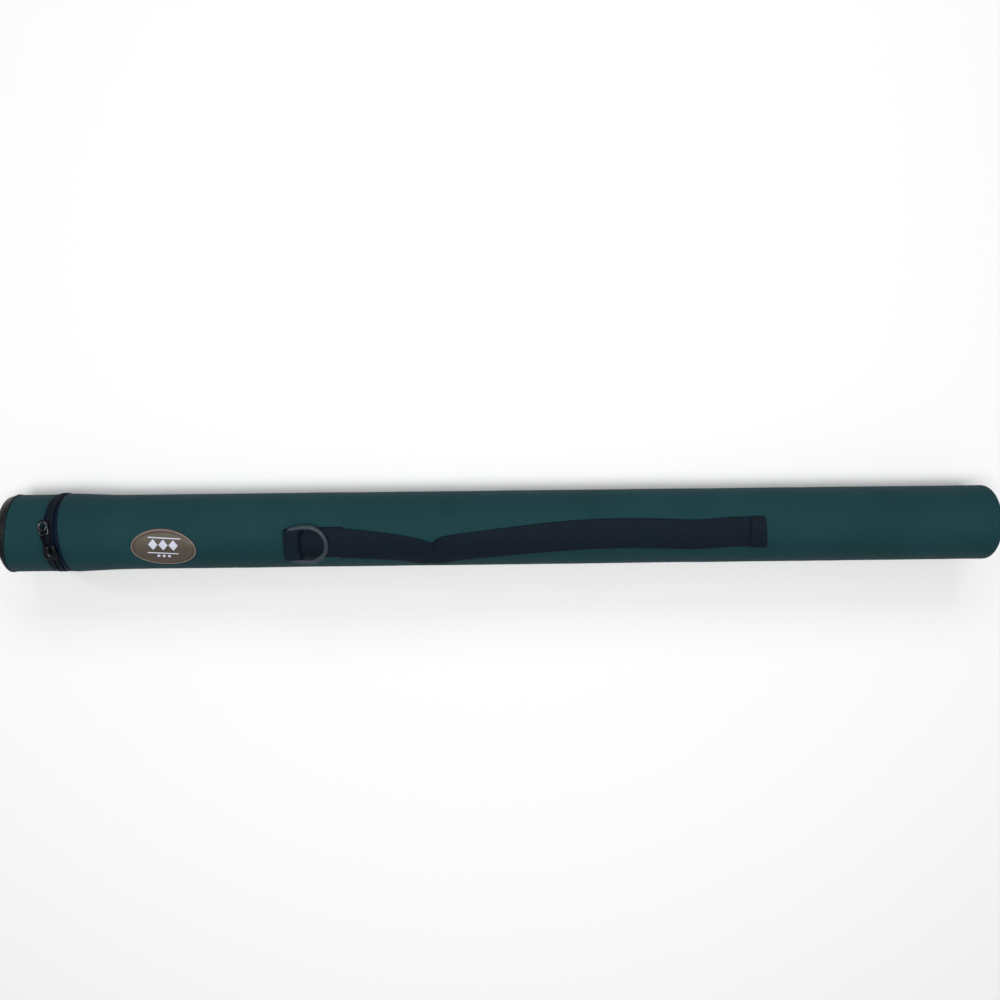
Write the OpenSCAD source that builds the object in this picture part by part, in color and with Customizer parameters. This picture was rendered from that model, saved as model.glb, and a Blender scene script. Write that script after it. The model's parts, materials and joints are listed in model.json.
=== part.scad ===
// Round hard case for a two-piece billiard cue. It lies on its side along X:
// the zipped lid is at -X, the plain closed end at +X, and Z is up.
// Angles "phi" go round the tube from the front (-Y) up over the top (+Z).

/* [Case] */
// Length over everything
case_l = 815; // [700:1:900]
// Radius over the fabric of the long body
body_r = 31; // [31:0.5:31.5]
// Radius over the fabric of the lid
lid_r = 31.9; // [31.9:0.1:32]
// Radius over the fabric at the mouth, where the padding lifts it
mouth_r = 32.4; // [32.2:0.1:32.5]
// Distance from the lid's end to the fold line of its hinge
lid_l = 44.5; // [40:0.5:60]

/* [Tube] */
// Outer radius of the rigid tube
shell_r = 30.2; // [30.2:0.1:30.2]
// Inner radius of the rigid tube
shell_ri = 28.6; // [28.6:0.1:28.6]
// Inner radius of the liner for the butt
butt_ri = 15.5; // [15:0.1:15.5]
// Inner radius of the liners for the shafts
shaft_ri = 10.5; // [10:0.1:10.5]
// Angle between the butt liner and each shaft liner
liner_spread = 136; // [135:1:137]

/* [Zip] */
// Radius over the teeth
coil_r = 33.1; // [33:0.1:33.2]
// Radius over the tapes
tape_r = 32.4; // [32.2:0.1:32.4]
// Half the angle that the hinge flap takes
hinge_half = 18; // [15:1:19]
// Half the angle left without teeth
coil_gap_half = 22; // [21:1:24]
// Place of the slider, as phi
slider_phi = 68; // [62:1:75]
// Length of the pull tab from its pin
pull_l = 23; // [18:0.5:24]
// How far the pull tab leans down from the tangent at its pin
pull_lean = 21.5; // [21.5:0.5:22]

/* [Badge] */
// Middle of the badge along the case
badge_x = -273; // [-290:1:-250]
// Middle of the badge, as phi
badge_phi = 70; // [60:1:80]
// Length of the badge
badge_l = 52; // [40:0.5:56]
// Width of the badge, straight across
badge_w = 31.5; // [25:0.5:34]
// Turn of the badge on the tube, in degrees
badge_tilt = -3.8; // [-6:0.1:6]

/* [Ring and strap] */
// Place of the ring's bar along the case
bar_x = -172; // [-175:0.5:-170]
// Middle of the ring, as phi
ring_phi = 76; // [60:1:80]
// Radius of the ring's wire
wire_r = 1.9; // [1.5:0.1:2]
// Radius of the ring's round end, at the middle of its wire
ring_bow = 15.7; // [15:0.1:16]
// Width of the webbing
web_w = 25.4; // [24:0.1:26]
// Thickness of the webbing
web_t = 1.6; // [1.4:0.1:1.7]
// Where the strap's sewn end at the ring starts
strap_x0 = -137.5; // [-138:0.5:-137]
// Where the strap's other sewn end stops
strap_x1 = 214.5; // [200:0.5:220]

/* [Hidden] */
$fn = 96;

zc = 33.2;                    // height of the tube's axis
x0 = -case_l/2;               // lid's end
x1 = case_l/2;                // plain end
xh = x0 + lid_l;              // fold line of the hinge
mouth_x = xh + 7;             // edge of the body's cover
lid_edge = xh - 6.3;          // edge of the lid's cover
end_seam = x1 - 8.5;          // seam of the end panel
cap_seam = x0 + 6.5;          // seam of the black cap
butt_d = shell_ri - butt_ri - 0.7 - 0.1;
shaft_d = shell_ri - shaft_ri - 0.6 - 0.1;

green = [0.13, 0.26, 0.27];
black = [0.09, 0.10, 0.12];

// Puts a shape drawn in the tube's section (Y, Z) along X, on the axis.
module along(x = 0) translate([x, 0, zc]) rotate([90, 0, 90]) children();
// Point of the section at radius r and angle phi.
function pt(r, phi) = [-r*cos(phi), r*sin(phi)];
// Plain ring round the axis.
module ring(ri, ro, xa, xb)
    along(xa) difference() {
        cylinder(h = xb - xa, r = ro);
        translate([0, 0, -1]) cylinder(h = xb - xa + 2, r = ri);
    }
// Sector of the section from angle pa to pb, in steps of about 15 degrees.
module sector(pa, pb, xa, xb, r = 60) {
    n = max(1, ceil((pb - pa)/15));
    along(xa) linear_extrude(height = xb - xa)
        polygon(concat([[0, 0]], [for (i = [0:n]) pt(r, pa + (pb - pa)*i/n)]));
}
// Turned shape: profile of [radius, x] points, spun round the axis.
module turned(profile) along() rotate_extrude() polygon(profile);
// Places children, drawn with the tube's outside facing +Z at x = 0, at angle phi.
module at_phi(x, phi) translate([x, 0, zc]) rotate([90 - phi, 0, 0]) children();
// Quarter round of a turned profile's outer corner: centre [r, x], radius f, from angle a to b.
function corner(r, x, f, a, b, n = 8) = [for (i = [0:n]) let (t = a + (b - a)*i/n) [r + f*cos(t), x + f*sin(t)]];
// Smooth 0 to 1.
function ease(t) = let (u = min(1, max(0, t))) u*u*(3 - 2*u);

// ---- long body ----
flare_l = 46;
module tube_cover() color(green)
    turned(concat(
        [[shell_r + 0.1, end_seam], [body_r, end_seam], [body_r, mouth_x + flare_l]],
        [for (i = [1:7]) let (t = i/8) [body_r + (mouth_r - body_r)*ease(t), mouth_x + flare_l*(1 - t)]],
        [[mouth_r, mouth_x], [mouth_r - 0.8, mouth_x]],
        [for (i = [7:-1:1]) let (t = i/8) [max(shell_r + 0.1, body_r + (mouth_r - body_r)*ease(t) - 0.8), mouth_x + flare_l*(1 - t)]],
        [[shell_r + 0.1, mouth_x + flare_l]]));
module mouth_padding() color([0.25, 0.25, 0.26])
    turned(concat(
        [[shell_r, mouth_x + 30], [shell_r, mouth_x + 1], [mouth_r - 0.9, mouth_x + 1]],
        [for (i = [7:-1:4]) let (t = i/8) [body_r + (mouth_r - body_r)*ease(t) - 0.9, mouth_x + flare_l*(1 - t)]]));
module tube_shell() color([0.55, 0.45, 0.33]) ring(shell_ri, shell_r, xh + 0.7, x1 - 3.5);
module end_panel() color(green)
    turned(concat(
        [[shell_r + 0.1, end_seam + 0.2], [body_r, end_seam + 0.2]],
        corner(body_r - 3.2, x1 - 3.2, 3.2, 0, 90),
        [[0, x1], [0, x1 - 1.5], [shell_r + 0.1, x1 - 1.5]]));
module end_plug() color([0.6, 0.48, 0.33]) ring(0, shell_ri, x1 - 11, x1 - 3.6);

// Liners: one for the butt below, two for the shafts above.
liner_x0 = xh + 8;
liner_x1 = x1 - 18;
module liner(ri, t, d, phi) translate([0, -d*cos(phi), d*sin(phi)])
    ring(ri, ri + t, liner_x0, liner_x1);
module butt_tube() color([0.2, 0.2, 0.22]) liner(butt_ri, 0.7, butt_d, -90);
module shaft_tube_left() color([0.2, 0.2, 0.22]) liner(shaft_ri, 0.6, shaft_d, -90 + liner_spread);
module shaft_tube_right() color([0.2, 0.2, 0.22]) liner(shaft_ri, 0.6, shaft_d, -90 - liner_spread);
module holed_disc(xa, xb, grow) difference() {
    ring(0, shell_ri - 0.05, xa, xb);
    translate([0, 0, -butt_d]) along(xa - 1) cylinder(h = xb - xa + 2, r = butt_ri + grow);
    for (s = [-1, 1]) translate([0, -shaft_d*cos(-90 + s*liner_spread), shaft_d*sin(-90 + s*liner_spread)])
        along(xa - 1) cylinder(h = xb - xa + 2, r = shaft_ri + grow);
}
module mouth_collar() color([0.12, 0.12, 0.13]) holed_disc(xh + 2.5, liner_x0, 0);
module end_collar() color([0.12, 0.12, 0.13]) holed_disc(liner_x1, liner_x1 + 2, 0);
module bottom_pad() color([0.3, 0.3, 0.32]) ring(0, shell_ri - 0.1, liner_x1 + 2, x1 - 11.1);

// ---- zip and hinge ----
module zip_tape(xa, xb, clear) difference() {
    ring(tape_r - 0.7, tape_r, xa, xb);
    sector(-hinge_half - clear, hinge_half + clear, xa - 1, xb + 1);
}
module zip_coil(xa, xb, xs) difference() {
    ring(tape_r - 0.7, coil_r, xa, xb);
    sector(-coil_gap_half, coil_gap_half, xa - 1, xb + 1);
}
module zip_tape_body() color(black) zip_tape(xh + 2.9, mouth_x - 0.1, 0.3);
module zip_coil_body() color([0.05, 0.05, 0.06]) zip_coil(xh + 0.6, xh + 2.8, 0);
module zip_tape_lid() color(black) zip_tape(lid_edge + 0.1, xh - 2.9, 0.3);
module zip_coil_lid() color([0.05, 0.05, 0.06]) zip_coil(xh - 2.8, xh - 0.6, 0);
// Stops, on the body's tape beside the last teeth.
module zip_stops() color([0.2, 0.2, 0.22])
    for (s = [-1, 1]) intersection() {
        ring(tape_r - 0.3, coil_r - 0.1, xh + 0.6, xh + 2.9);
        sector(s > 0 ? coil_gap_half - 3 : -coil_gap_half + 0.3, s > 0 ? coil_gap_half - 0.3 : -coil_gap_half + 3, xh, xh + 4);
    }
module flap(xa, xb) intersection() {
    ring(tape_r - 0.9, tape_r + 0.2, xa, xb);
    sector(-hinge_half, hinge_half, xa - 1, xb + 1);
}
module hinge_flap_body() color(black) flap(xh + 0.4, mouth_x - 0.1);
module hinge_flap_lid() color(black) flap(lid_edge + 0.1, xh - 0.4);

// ---- lid ----
module lid_cover() color(green) ring(shell_r + 0.8, lid_r, cap_seam + 0.4, lid_edge);
module lid_end_cap() color([0.08, 0.08, 0.09])
    turned(concat(
        [[shell_r + 0.8, cap_seam - 0.4], [shell_r + 0.8, x0 + 1.4], [0, x0 + 1.4], [0, x0]],
        [for (i = [8:-1:0]) let (t = -90*i/8) [lid_r - 3.6 + 3.6*cos(t), x0 + 3.6 + 3.6*sin(t)]],
        [[lid_r, cap_seam - 0.4]]));
module lid_piping() color([0.03, 0.03, 0.04]) ring(shell_r + 1, lid_r + 0.35, cap_seam - 0.35, cap_seam + 0.35);
module lid_shell() color([0.55, 0.45, 0.33])
    turned([[0, x0 + 1.5], [shell_r + 0.7, x0 + 1.5], [shell_r + 0.7, lid_edge], [shell_r, lid_edge + 2],
            [shell_r, xh - 0.7], [shell_ri + 0.2, xh - 0.7], [shell_ri + 0.2, x0 + 3.5], [0, x0 + 3.5]]);
module lid_pad() color([0.3, 0.3, 0.32]) ring(0, shell_ri + 0.1, x0 + 3.6, x0 + 11);

// ---- slider and pull ----
slide_w = 11;            // width of the slider along X
slide_half = 11;         // half its length round the tube, in degrees
top_in = coil_r + 0.5;   // underside of the top plate
top_out = coil_r + 1.6;  // top of the top plate
pin_r = 0.75;            // pin of the pull
pin_hole = 0.82;         // hole for it in the slider's lug
pin_R = 36.6;            // distance of the pin from the tube's axis
pin_phi = slider_phi + 8.5;
module zip_slider() color([0.22, 0.22, 0.24]) {
    difference() {
        union() {
            intersection() {
                union() {
                    ring(top_in, top_out, xh - slide_w/2, xh + slide_w/2);
                    ring(tape_r + 0.3, top_in + 0.1, xh + 3.3, xh + slide_w/2);
                    ring(shell_r + 0.1, shell_r + 0.9, xh - 0.3, xh + slide_w/2 - 0.2);
                }
                sector(slider_phi - slide_half, slider_phi + slide_half, xh - 10, xh + 10);
            }
            intersection() {
                ring(shell_r + 0.5, top_in + 0.2, xh - 0.3, xh + 0.3);
                sector(slider_phi - 4, slider_phi + 4, xh - 10, xh + 10);
            }
            // Lug for the pin
            at_phi(xh, pin_phi) difference() {
                union() {
                    translate([-1.1, 0, pin_R]) rotate([0, 90, 0]) cylinder(h = 2.2, r = 1.7, $fn = 48);
                    translate([-1.1, -1.7, top_out - 0.5]) cube([2.2, 3.4, pin_R - top_out + 0.5]);
                }
                translate([-2, 0, pin_R]) rotate([0, 90, 0]) cylinder(h = 4, r = pin_hole, $fn = 48);
            }
        }
    }
}
// Drawn with its pin at the origin, the tab towards +Y, flat in X-Y.
module pull_shape() {
    rotate([0, 90, 0]) translate([0, 0, -2.6]) cylinder(h = 5.2, r = pin_r, $fn = 48);
    for (s = [-1, 1]) translate([s > 0 ? 1.4 : -2.6, -0.75, -0.6]) cube([1.2, 4.2, 1.2]);
    difference() {
        translate([0, 0, -0.6]) linear_extrude(height = 1.2)
            polygon(concat([[-2.6, 3], [2.6, 3], [4.6, 15]],
                [for (a = [0:15:180]) [4.6*cos(a), pull_l - 4.6 + 4.6*sin(a)]], [[-4.6, 15]]));
        translate([0, pull_l - 5.6, -2]) cylinder(h = 4, r = 1.9, $fn = 48);
    }
}
module zip_pull() color([0.16, 0.16, 0.18])
    at_phi(xh, pin_phi) translate([0, 0, pin_R]) rotate([-pull_lean, 0, 0]) pull_shape();

// ---- badge ----
function oval(a, b, n = 64) = [for (i = [0:n - 1]) [a*cos(360*i/n), b*sin(360*i/n)]];
module badge_slab(a, b, ri, ro) intersection() {
    ring(ri, ro, badge_x - 40, badge_x + 40);
    at_phi(badge_x, badge_phi) rotate([0, 0, badge_tilt]) translate([0, 0, 20]) linear_extrude(height = 20) polygon(oval(a, b));
}
module badge_plate() color([0.42, 0.36, 0.31]) difference() {
    badge_slab(badge_l/2, badge_w/2, body_r + 0.1, body_r + 1.6);
    badge_slab(badge_l/2 - 2, badge_w/2 - 2, body_r + 1.1, body_r + 2);
}
module badge_emblem() color([0.85, 0.82, 0.78]) intersection() {
    ring(body_r + 1.1, body_r + 1.35, badge_x - 40, badge_x + 40);
    at_phi(badge_x, badge_phi) rotate([0, 0, badge_tilt]) translate([0, 0, 20]) linear_extrude(height = 20) {
        for (s = [-1, 1]) translate([-16, s*6.6 - 0.35]) square([32, 0.7]);
        for (i = [-1:1]) translate([i*9.5, 0]) polygon([[-3.2, 0], [0, -4.4], [3.2, 0], [0, 4.4]]);
    }
}

// ---- ring, loop and strap ----
bar_R = body_r + 0.1 + web_t + 0.15 + wire_r;   // bar's distance from the tube's axis
tab_top = body_r + 0.1 + 2*web_t;               // top of the doubled webbing
ring_leg = 15;                                // straight legs of the ring
module ring_loop() color(black) union() {
    difference() {
        union() {
            at_phi(bar_x, ring_phi) translate([0, 0, bar_R]) rotate([90, 0, 0])
                cylinder(h = web_w, r = wire_r + 0.15 + web_t, center = true);
            intersection() {
                ring(body_r + 0.1, tab_top, bar_x, -133);
                at_phi(bar_x, ring_phi) translate([0, -web_w/2, 0]) cube([60, web_w, 60]);
            }
        }
        at_phi(bar_x, ring_phi) translate([0, 0, bar_R]) rotate([90, 0, 0])
            cylinder(h = web_w + 2, r = wire_r + 0.15, center = true);
        ring(0, body_r + 0.1, bar_x - 20, bar_x + 60);
        // room for the ring's legs and bow above the tab
        at_phi(bar_x, ring_phi) translate([1, -web_w/2 - 1, bar_R - wire_r - 0.2]) cube([31.5, web_w + 2, 20]);
    }
}
ring_tilt = 2.4;
bend = 2.6;                                     // bend of the wire at the ends of its bar
module ring_shape() {
    rotate([90, 0, 0]) cylinder(h = 2*(ring_bow - bend), r = wire_r, center = true, $fn = 48);
    for (s = [-1, 1]) {
        translate([bend, s*(ring_bow - bend), 0]) rotate([0, 0, s > 0 ? 90 : 180])
            rotate_extrude(angle = 90) translate([bend, 0]) circle(r = wire_r, $fn = 48);
        translate([bend, s*ring_bow, 0]) rotate([0, 90, 0]) cylinder(h = ring_leg - bend, r = wire_r, $fn = 48);
    }
    translate([ring_leg, 0, 0]) rotate([0, 0, -90])
        rotate_extrude(angle = 180) translate([ring_bow, 0]) circle(r = wire_r, $fn = 48);
}
module d_ring() color([0.3, 0.33, 0.37])
    at_phi(bar_x, ring_phi) translate([0, 0, bar_R]) rotate([0, -ring_tilt, 0]) ring_shape();

// The strap's route: x, phi of its middle, and the radius of its underside.
route = [[strap_x0, 76.2, tab_top + 0.2], [-131, 75.5, tab_top + 0.3], [-118, 73.6, 33.6], [-98, 69.2, 32.4],
         [-78, 64.8, 32.0], [-58, 61.6, 33.6], [-47, 62.6, 33.4], [-34, 64.4, 32.2], [-2, 71.8, 31.5],
         [37, 79.2, 31.3], [66, 83, 31.2], [95, 84.3, 31.2], [128, 83.2, 31.2], [160, 81.3, 31.2],
         [185, 84.4, 31.2], [205, 84.6, 31.1], [strap_x1, 83.6, 31.1]];
function hermite(a, b, c, d, t) = let (m0 = (c - a)/2, m1 = (d - b)/2, t2 = t*t, t3 = t2*t)
    (2*t3 - 3*t2 + 1)*b + (t3 - 2*t2 + t)*m0 + (-2*t3 + 3*t2)*c + (t3 - t2)*m1;
rn = len(route) - 1;
steps = 5;
line = [for (i = [0:rn - 1]) for (k = [0:steps - 1])
            let (a = route[max(0, i - 1)], b = route[i], c = route[i + 1], d = route[min(rn, i + 2)])
            [hermite(a[0], b[0], c[0], d[0], k/steps), hermite(a[1], b[1], c[1], d[1], k/steps), hermite(a[2], b[2], c[2], d[2], k/steps)],
        route[rn]];
across = 8;
module carry_strap() color(black) {
    n = len(line);
    w = across + 1;
    // half the angle the webbing takes, where its underside is at radius r
    pts = [for (p = line) let (h = 90*web_w/(PI*(p[2] + web_t/2)))
             for (s = [0:2*w - 1]) let (up = s >= w, k = up ? 2*w - 1 - s : s, f = p[1] - h + 2*h*k/across, r = p[2] + (up ? web_t : 0), q = pt(r, f))
                 [p[0], q[0], zc + q[1]]];
    m = 2*w;
    polyhedron(points = pts, faces = concat(
        [[for (s = [0:m - 1]) s]],
        [[for (s = [m - 1:-1:0]) (n - 1)*m + s]],
        [for (i = [0:n - 2]) for (s = [0:m - 1]) let (a = i*m + s, b = i*m + (s + 1) % m) [a, a + m, b + m]],
        [for (i = [0:n - 2]) for (s = [0:m - 1]) let (a = i*m + s, b = i*m + (s + 1) % m) [a, b + m, b]]));
}
// Sewn bars across the strap's two ends.
module sewn_bar(x, phi, r) intersection() {
    ring(r, r + 0.3, x - 0.5, x + 0.5);
    sector(phi - 20, phi + 20, x - 2, x + 2);
}
module strap_stitching() color([0.2, 0.21, 0.23]) {
    for (x = [202, 212]) sewn_bar(x, 84.4, 31.12 + web_t);
}

tube_cover();
mouth_padding();
tube_shell();
end_panel();
end_plug();
butt_tube();
shaft_tube_left();
shaft_tube_right();
mouth_collar();
end_collar();
bottom_pad();
zip_tape_body();
zip_coil_body();
zip_stops();
hinge_flap_body();
badge_plate();
badge_emblem();
ring_loop();
carry_strap();
strap_stitching();
lid_cover();
lid_end_cap();
lid_piping();
lid_shell();
lid_pad();
zip_tape_lid();
zip_coil_lid();
hinge_flap_lid();
zip_slider();
zip_pull();
d_ring();
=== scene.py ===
import json
import math

import bmesh
import bpy
import numpy as np
from mathutils import Matrix, Vector


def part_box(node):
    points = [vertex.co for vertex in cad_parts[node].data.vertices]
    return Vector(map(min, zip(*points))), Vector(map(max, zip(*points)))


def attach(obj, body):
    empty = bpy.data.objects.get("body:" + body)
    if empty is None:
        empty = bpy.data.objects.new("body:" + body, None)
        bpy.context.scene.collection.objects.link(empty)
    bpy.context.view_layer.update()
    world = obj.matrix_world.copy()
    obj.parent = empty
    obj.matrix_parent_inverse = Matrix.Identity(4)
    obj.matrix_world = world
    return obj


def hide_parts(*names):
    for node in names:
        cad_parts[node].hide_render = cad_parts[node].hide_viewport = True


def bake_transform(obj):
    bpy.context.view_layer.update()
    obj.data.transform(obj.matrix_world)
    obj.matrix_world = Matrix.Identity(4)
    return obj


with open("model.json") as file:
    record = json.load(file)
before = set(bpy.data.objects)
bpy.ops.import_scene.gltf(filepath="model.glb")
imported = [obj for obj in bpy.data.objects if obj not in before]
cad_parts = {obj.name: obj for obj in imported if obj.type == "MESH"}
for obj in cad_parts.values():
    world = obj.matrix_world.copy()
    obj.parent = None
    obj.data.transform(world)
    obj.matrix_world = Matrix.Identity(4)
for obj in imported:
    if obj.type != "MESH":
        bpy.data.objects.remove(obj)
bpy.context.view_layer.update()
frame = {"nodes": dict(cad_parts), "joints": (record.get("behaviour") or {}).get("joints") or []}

NODE = frame["nodes"]
MM = 0.001
PI = math.pi

# ------------------------------------------------------------------ places, in millimetres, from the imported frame
_lo, _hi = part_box("tube_shell")
ZC = (_lo.z + _hi.z) / 2 / MM                     # height of the tube's axis
X0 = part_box("lid_end_cap")[0].x / MM              # lid's end
X1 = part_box("end_panel")[1].x / MM                # plain end
HINGE = next(j for j in frame["joints"] if j["name"] == "lid_hinge")
XH = HINGE["pos_m"][0] / MM                       # fold line of the hinge
SEAM = X1 - 8.5                                   # seam of the end panel
MOUTH = XH + 7.0
BODY_R, LID_R, MOUTH_R = 31.0, 31.9, 32.4
SLIDER_PHI = 68.0
BADGE_X, BADGE_PHI, BADGE_TILT = -273.0, 70.0, -3.8
BAR_X, RING_PHI, BAR_R = -172.0, 76.0, 34.75


def pos(x, phi, r):
    """Point at x, angle phi in degrees (from -Y up over +Z) and radius r, as arrays in mm."""
    x, phi, r = np.broadcast_arrays(np.asarray(x, float), np.radians(np.asarray(phi, float)), np.asarray(r, float))
    return np.stack([x, -r * np.cos(phi), ZC + r * np.sin(phi)], -1)


def at_phi(x, phi, r=0.0):
    """Matrix of a frame on the tube at angle phi: its Z points outwards and its Y towards larger phi. In mm."""
    return Matrix.Translation((x, 0, ZC)) @ Matrix.Rotation(math.radians(90 - phi), 4, "X") @ Matrix.Translation((0, 0, r))


def th(phi):
    """Sine and cosine of the angle counted from the front of the view, 96 degrees less phi."""
    t = np.radians(96.0 - np.asarray(phi, float))
    return np.sin(t), np.cos(t)


def mouth_edge(phi):
    s, c = th(phi)
    return XH + 5.85 + 2.75 * s + 0.95 * c


def lid_edge(phi):
    s, c = th(phi)
    return XH - 5.85 - 0.45 * s


def cap_seam(phi):
    s, c = th(phi)
    return X0 + 7.9 - 2.6 * s - 4.0 * s * s


def lens(phi, amp=1.0):
    """How far each row of teeth stands away from the fold line where the zip is still parted."""
    p = np.asarray(phi, float)
    u = np.clip((p - 20.0) / (SLIDER_PHI - 8 - 20.0), 0, 1)
    return amp * np.sin(PI * u) ** 0.8


def ease(t):
    t = np.clip(t, 0, 1)
    return t * t * (3 - 2 * t)


RNG = np.random.RandomState(7)
_WAVES = [(2 * PI / L, int(n), RNG.rand() * 2 * PI, a) for L, n, a in
          ((230, 2, .035), (141, 3, .03), (97, 1, .035), (74, 5, .022), (53, 4, .02), (38, 7, .014), (29, 3, .012), (21, 9, .008), (310, 1, .03))]


def wave(x, phi):
    p = np.radians(phi)
    return sum(a * np.sin(k * x + n * p + ph) for k, n, ph, a in _WAVES)


# ------------------------------------------------------------------ mesh helpers
def finish_mesh(name, verts, faces, uvs=None, smooth=38.0, fix=True, parent_scale=MM):
    """An object from arrays in mm. uvs holds one (u, v) per face corner, in mm."""
    me = bpy.data.meshes.new(name)
    me.from_pydata((np.asarray(verts, float) * parent_scale).tolist(), [], [list(f) for f in faces])
    if uvs is not None:
        layer = me.uv_layers.new(name="UVMap")
        layer.data.foreach_set("uv", np.asarray(uvs, np.float32).ravel())
    if fix:
        bm = bmesh.new()
        bm.from_mesh(me)
        bmesh.ops.recalc_face_normals(bm, faces=bm.faces)
        bm.to_mesh(me)
        bm.free()
    me.polygons.foreach_set("use_smooth", [True] * len(me.polygons))
    me.set_sharp_from_angle(angle=math.radians(smooth))
    me.update()
    ob = bpy.data.objects.new(name, me)
    bpy.context.scene.collection.objects.link(ob)
    return ob


def grid_arrays(P, closed_i=False, closed_j=False, uv=None, pole0=None, pole1=None, cap_j=False):
    """Vertices, faces and corner UVs of a grid P[i, j]. pole0 and pole1 close the rows i=0 and i=last on a point."""
    ni, nj = P.shape[:2]
    V = P.reshape(-1, 3)
    I = np.arange(ni if closed_i else ni - 1)
    J = np.arange(nj if closed_j else nj - 1)
    a, b = np.meshgrid(I, J, indexing="ij")
    a, b = a.ravel(), b.ravel()
    a2, b2 = a + 1, b + 1
    q = np.stack([(a % ni) * nj + b % nj, (a2 % ni) * nj + b % nj, (a2 % ni) * nj + b2 % nj, (a % ni) * nj + b2 % nj], -1)
    if uv is None:
        uv = np.stack(np.meshgrid(np.arange(ni + 1.0), np.arange(nj + 1.0), indexing="ij"), -1)
    t = np.stack([uv[a, b], uv[a2, b], uv[a2, b2], uv[a, b2]], 1)
    faces = q.tolist()
    uvs = t.reshape(-1, 2).tolist()
    V = V.tolist()
    for pole, row in ((pole0, 0), (pole1, ni - 1)):
        if pole is None:
            continue
        V.append(list(pole))
        k = len(V) - 1
        for j in J:
            j2 = (j + 1) % nj
            faces.append([k, row * nj + j, row * nj + j2])
            m = (uv[row, j] + uv[row, j + 1]) / 2
            uvs += [m.tolist(), uv[row, j].tolist(), uv[row, j + 1].tolist()]
    if cap_j:
        for col in (0, nj - 1):
            faces.append([i * nj + col for i in range(ni)])
            uvs += [uv[i, col].tolist() for i in range(ni)]
    return np.array(V), faces, uvs


def ring_uv(X, R, phis, closed=True, r_ref=31.0):
    """UVs in mm for a profile X, R (k, n) turned through phis (n): u round the tube, v along the profile."""
    k, n = X.shape
    d = np.hypot(np.diff(X, axis=0), np.diff(R, axis=0)).mean(1)
    v = np.concatenate([[0], np.cumsum(d)])
    v = np.concatenate([v, [v[-1] + 1.0]])
    step = phis[1] - phis[0]
    p = np.concatenate([phis, [phis[-1] + step]])
    u = np.radians(p) * r_ref
    return np.stack(np.meshgrid(v, u, indexing="ij")[::-1], -1)


def revolve(name, X, R, phis, closed_profile=True, poles=False, full=True, cap=False, smooth=38.0):
    """A turned piece: X and R are (k, n) arrays over profile points and angles."""
    P = pos(X, phis[None, :], R)
    kw = {}
    if poles:
        kw = dict(pole0=(float(X[0].mean()), 0, ZC), pole1=(float(X[-1].mean()), 0, ZC))
    V, F, U = grid_arrays(P, closed_i=closed_profile, closed_j=full, uv=ring_uv(X, R, phis), cap_j=cap, **kw)
    return finish_mesh(name, V, F, U, smooth)


def tube_along(path, radius, sides=8, closed=False, up=None, caps=True, squeeze=1.0):
    """Vertices, faces, UVs of a round wire along path (n, 3). radius may be one number or n numbers."""
    path = np.asarray(path, float)
    n = len(path)
    if closed:
        tan = np.roll(path, -1, 0) - np.roll(path, 1, 0)
    else:
        tan = np.gradient(path, axis=0)
    tan /= np.linalg.norm(tan, axis=1)[:, None]
    if up is None:
        up = np.array([0.3, 0.5, 0.81])
    up = np.broadcast_to(np.asarray(up, float), (n, 3))
    side = np.cross(tan, up)
    side /= np.linalg.norm(side, axis=1)[:, None]
    nor = np.cross(side, tan)
    a = np.arange(sides) / sides * 2 * PI
    r = np.broadcast_to(np.asarray(radius, float), (n,))
    P = path[:, None] + r[:, None, None] * (np.cos(a)[None, :, None] * side[:, None] + squeeze * np.sin(a)[None, :, None] * nor[:, None])
    L = np.concatenate([[0], np.cumsum(np.linalg.norm(np.diff(path, axis=0), axis=1))])
    L = np.concatenate([L, [L[-1] + (L[-1] - L[-2])]])
    uv = np.stack(np.meshgrid(L, np.arange(sides + 1) / sides * 2 * PI * float(r.mean()), indexing="ij")[::-1], -1)
    kw = {}
    if not closed and caps:
        kw = dict(pole0=path[0] - tan[0] * r[0] * 0.25, pole1=path[-1] + tan[-1] * r[-1] * 0.25)
    return grid_arrays(P, closed_i=closed, closed_j=True, uv=uv, **kw)


def joined(parts):
    """One set of arrays from several (V, F, U)."""
    V, F, U, k = [], [], [], 0
    for v, f, u in parts:
        V.append(np.asarray(v, float))
        F += [[i + k for i in g] for g in f]
        U += list(u)
        k += len(v)
    return np.concatenate(V), F, U


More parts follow.
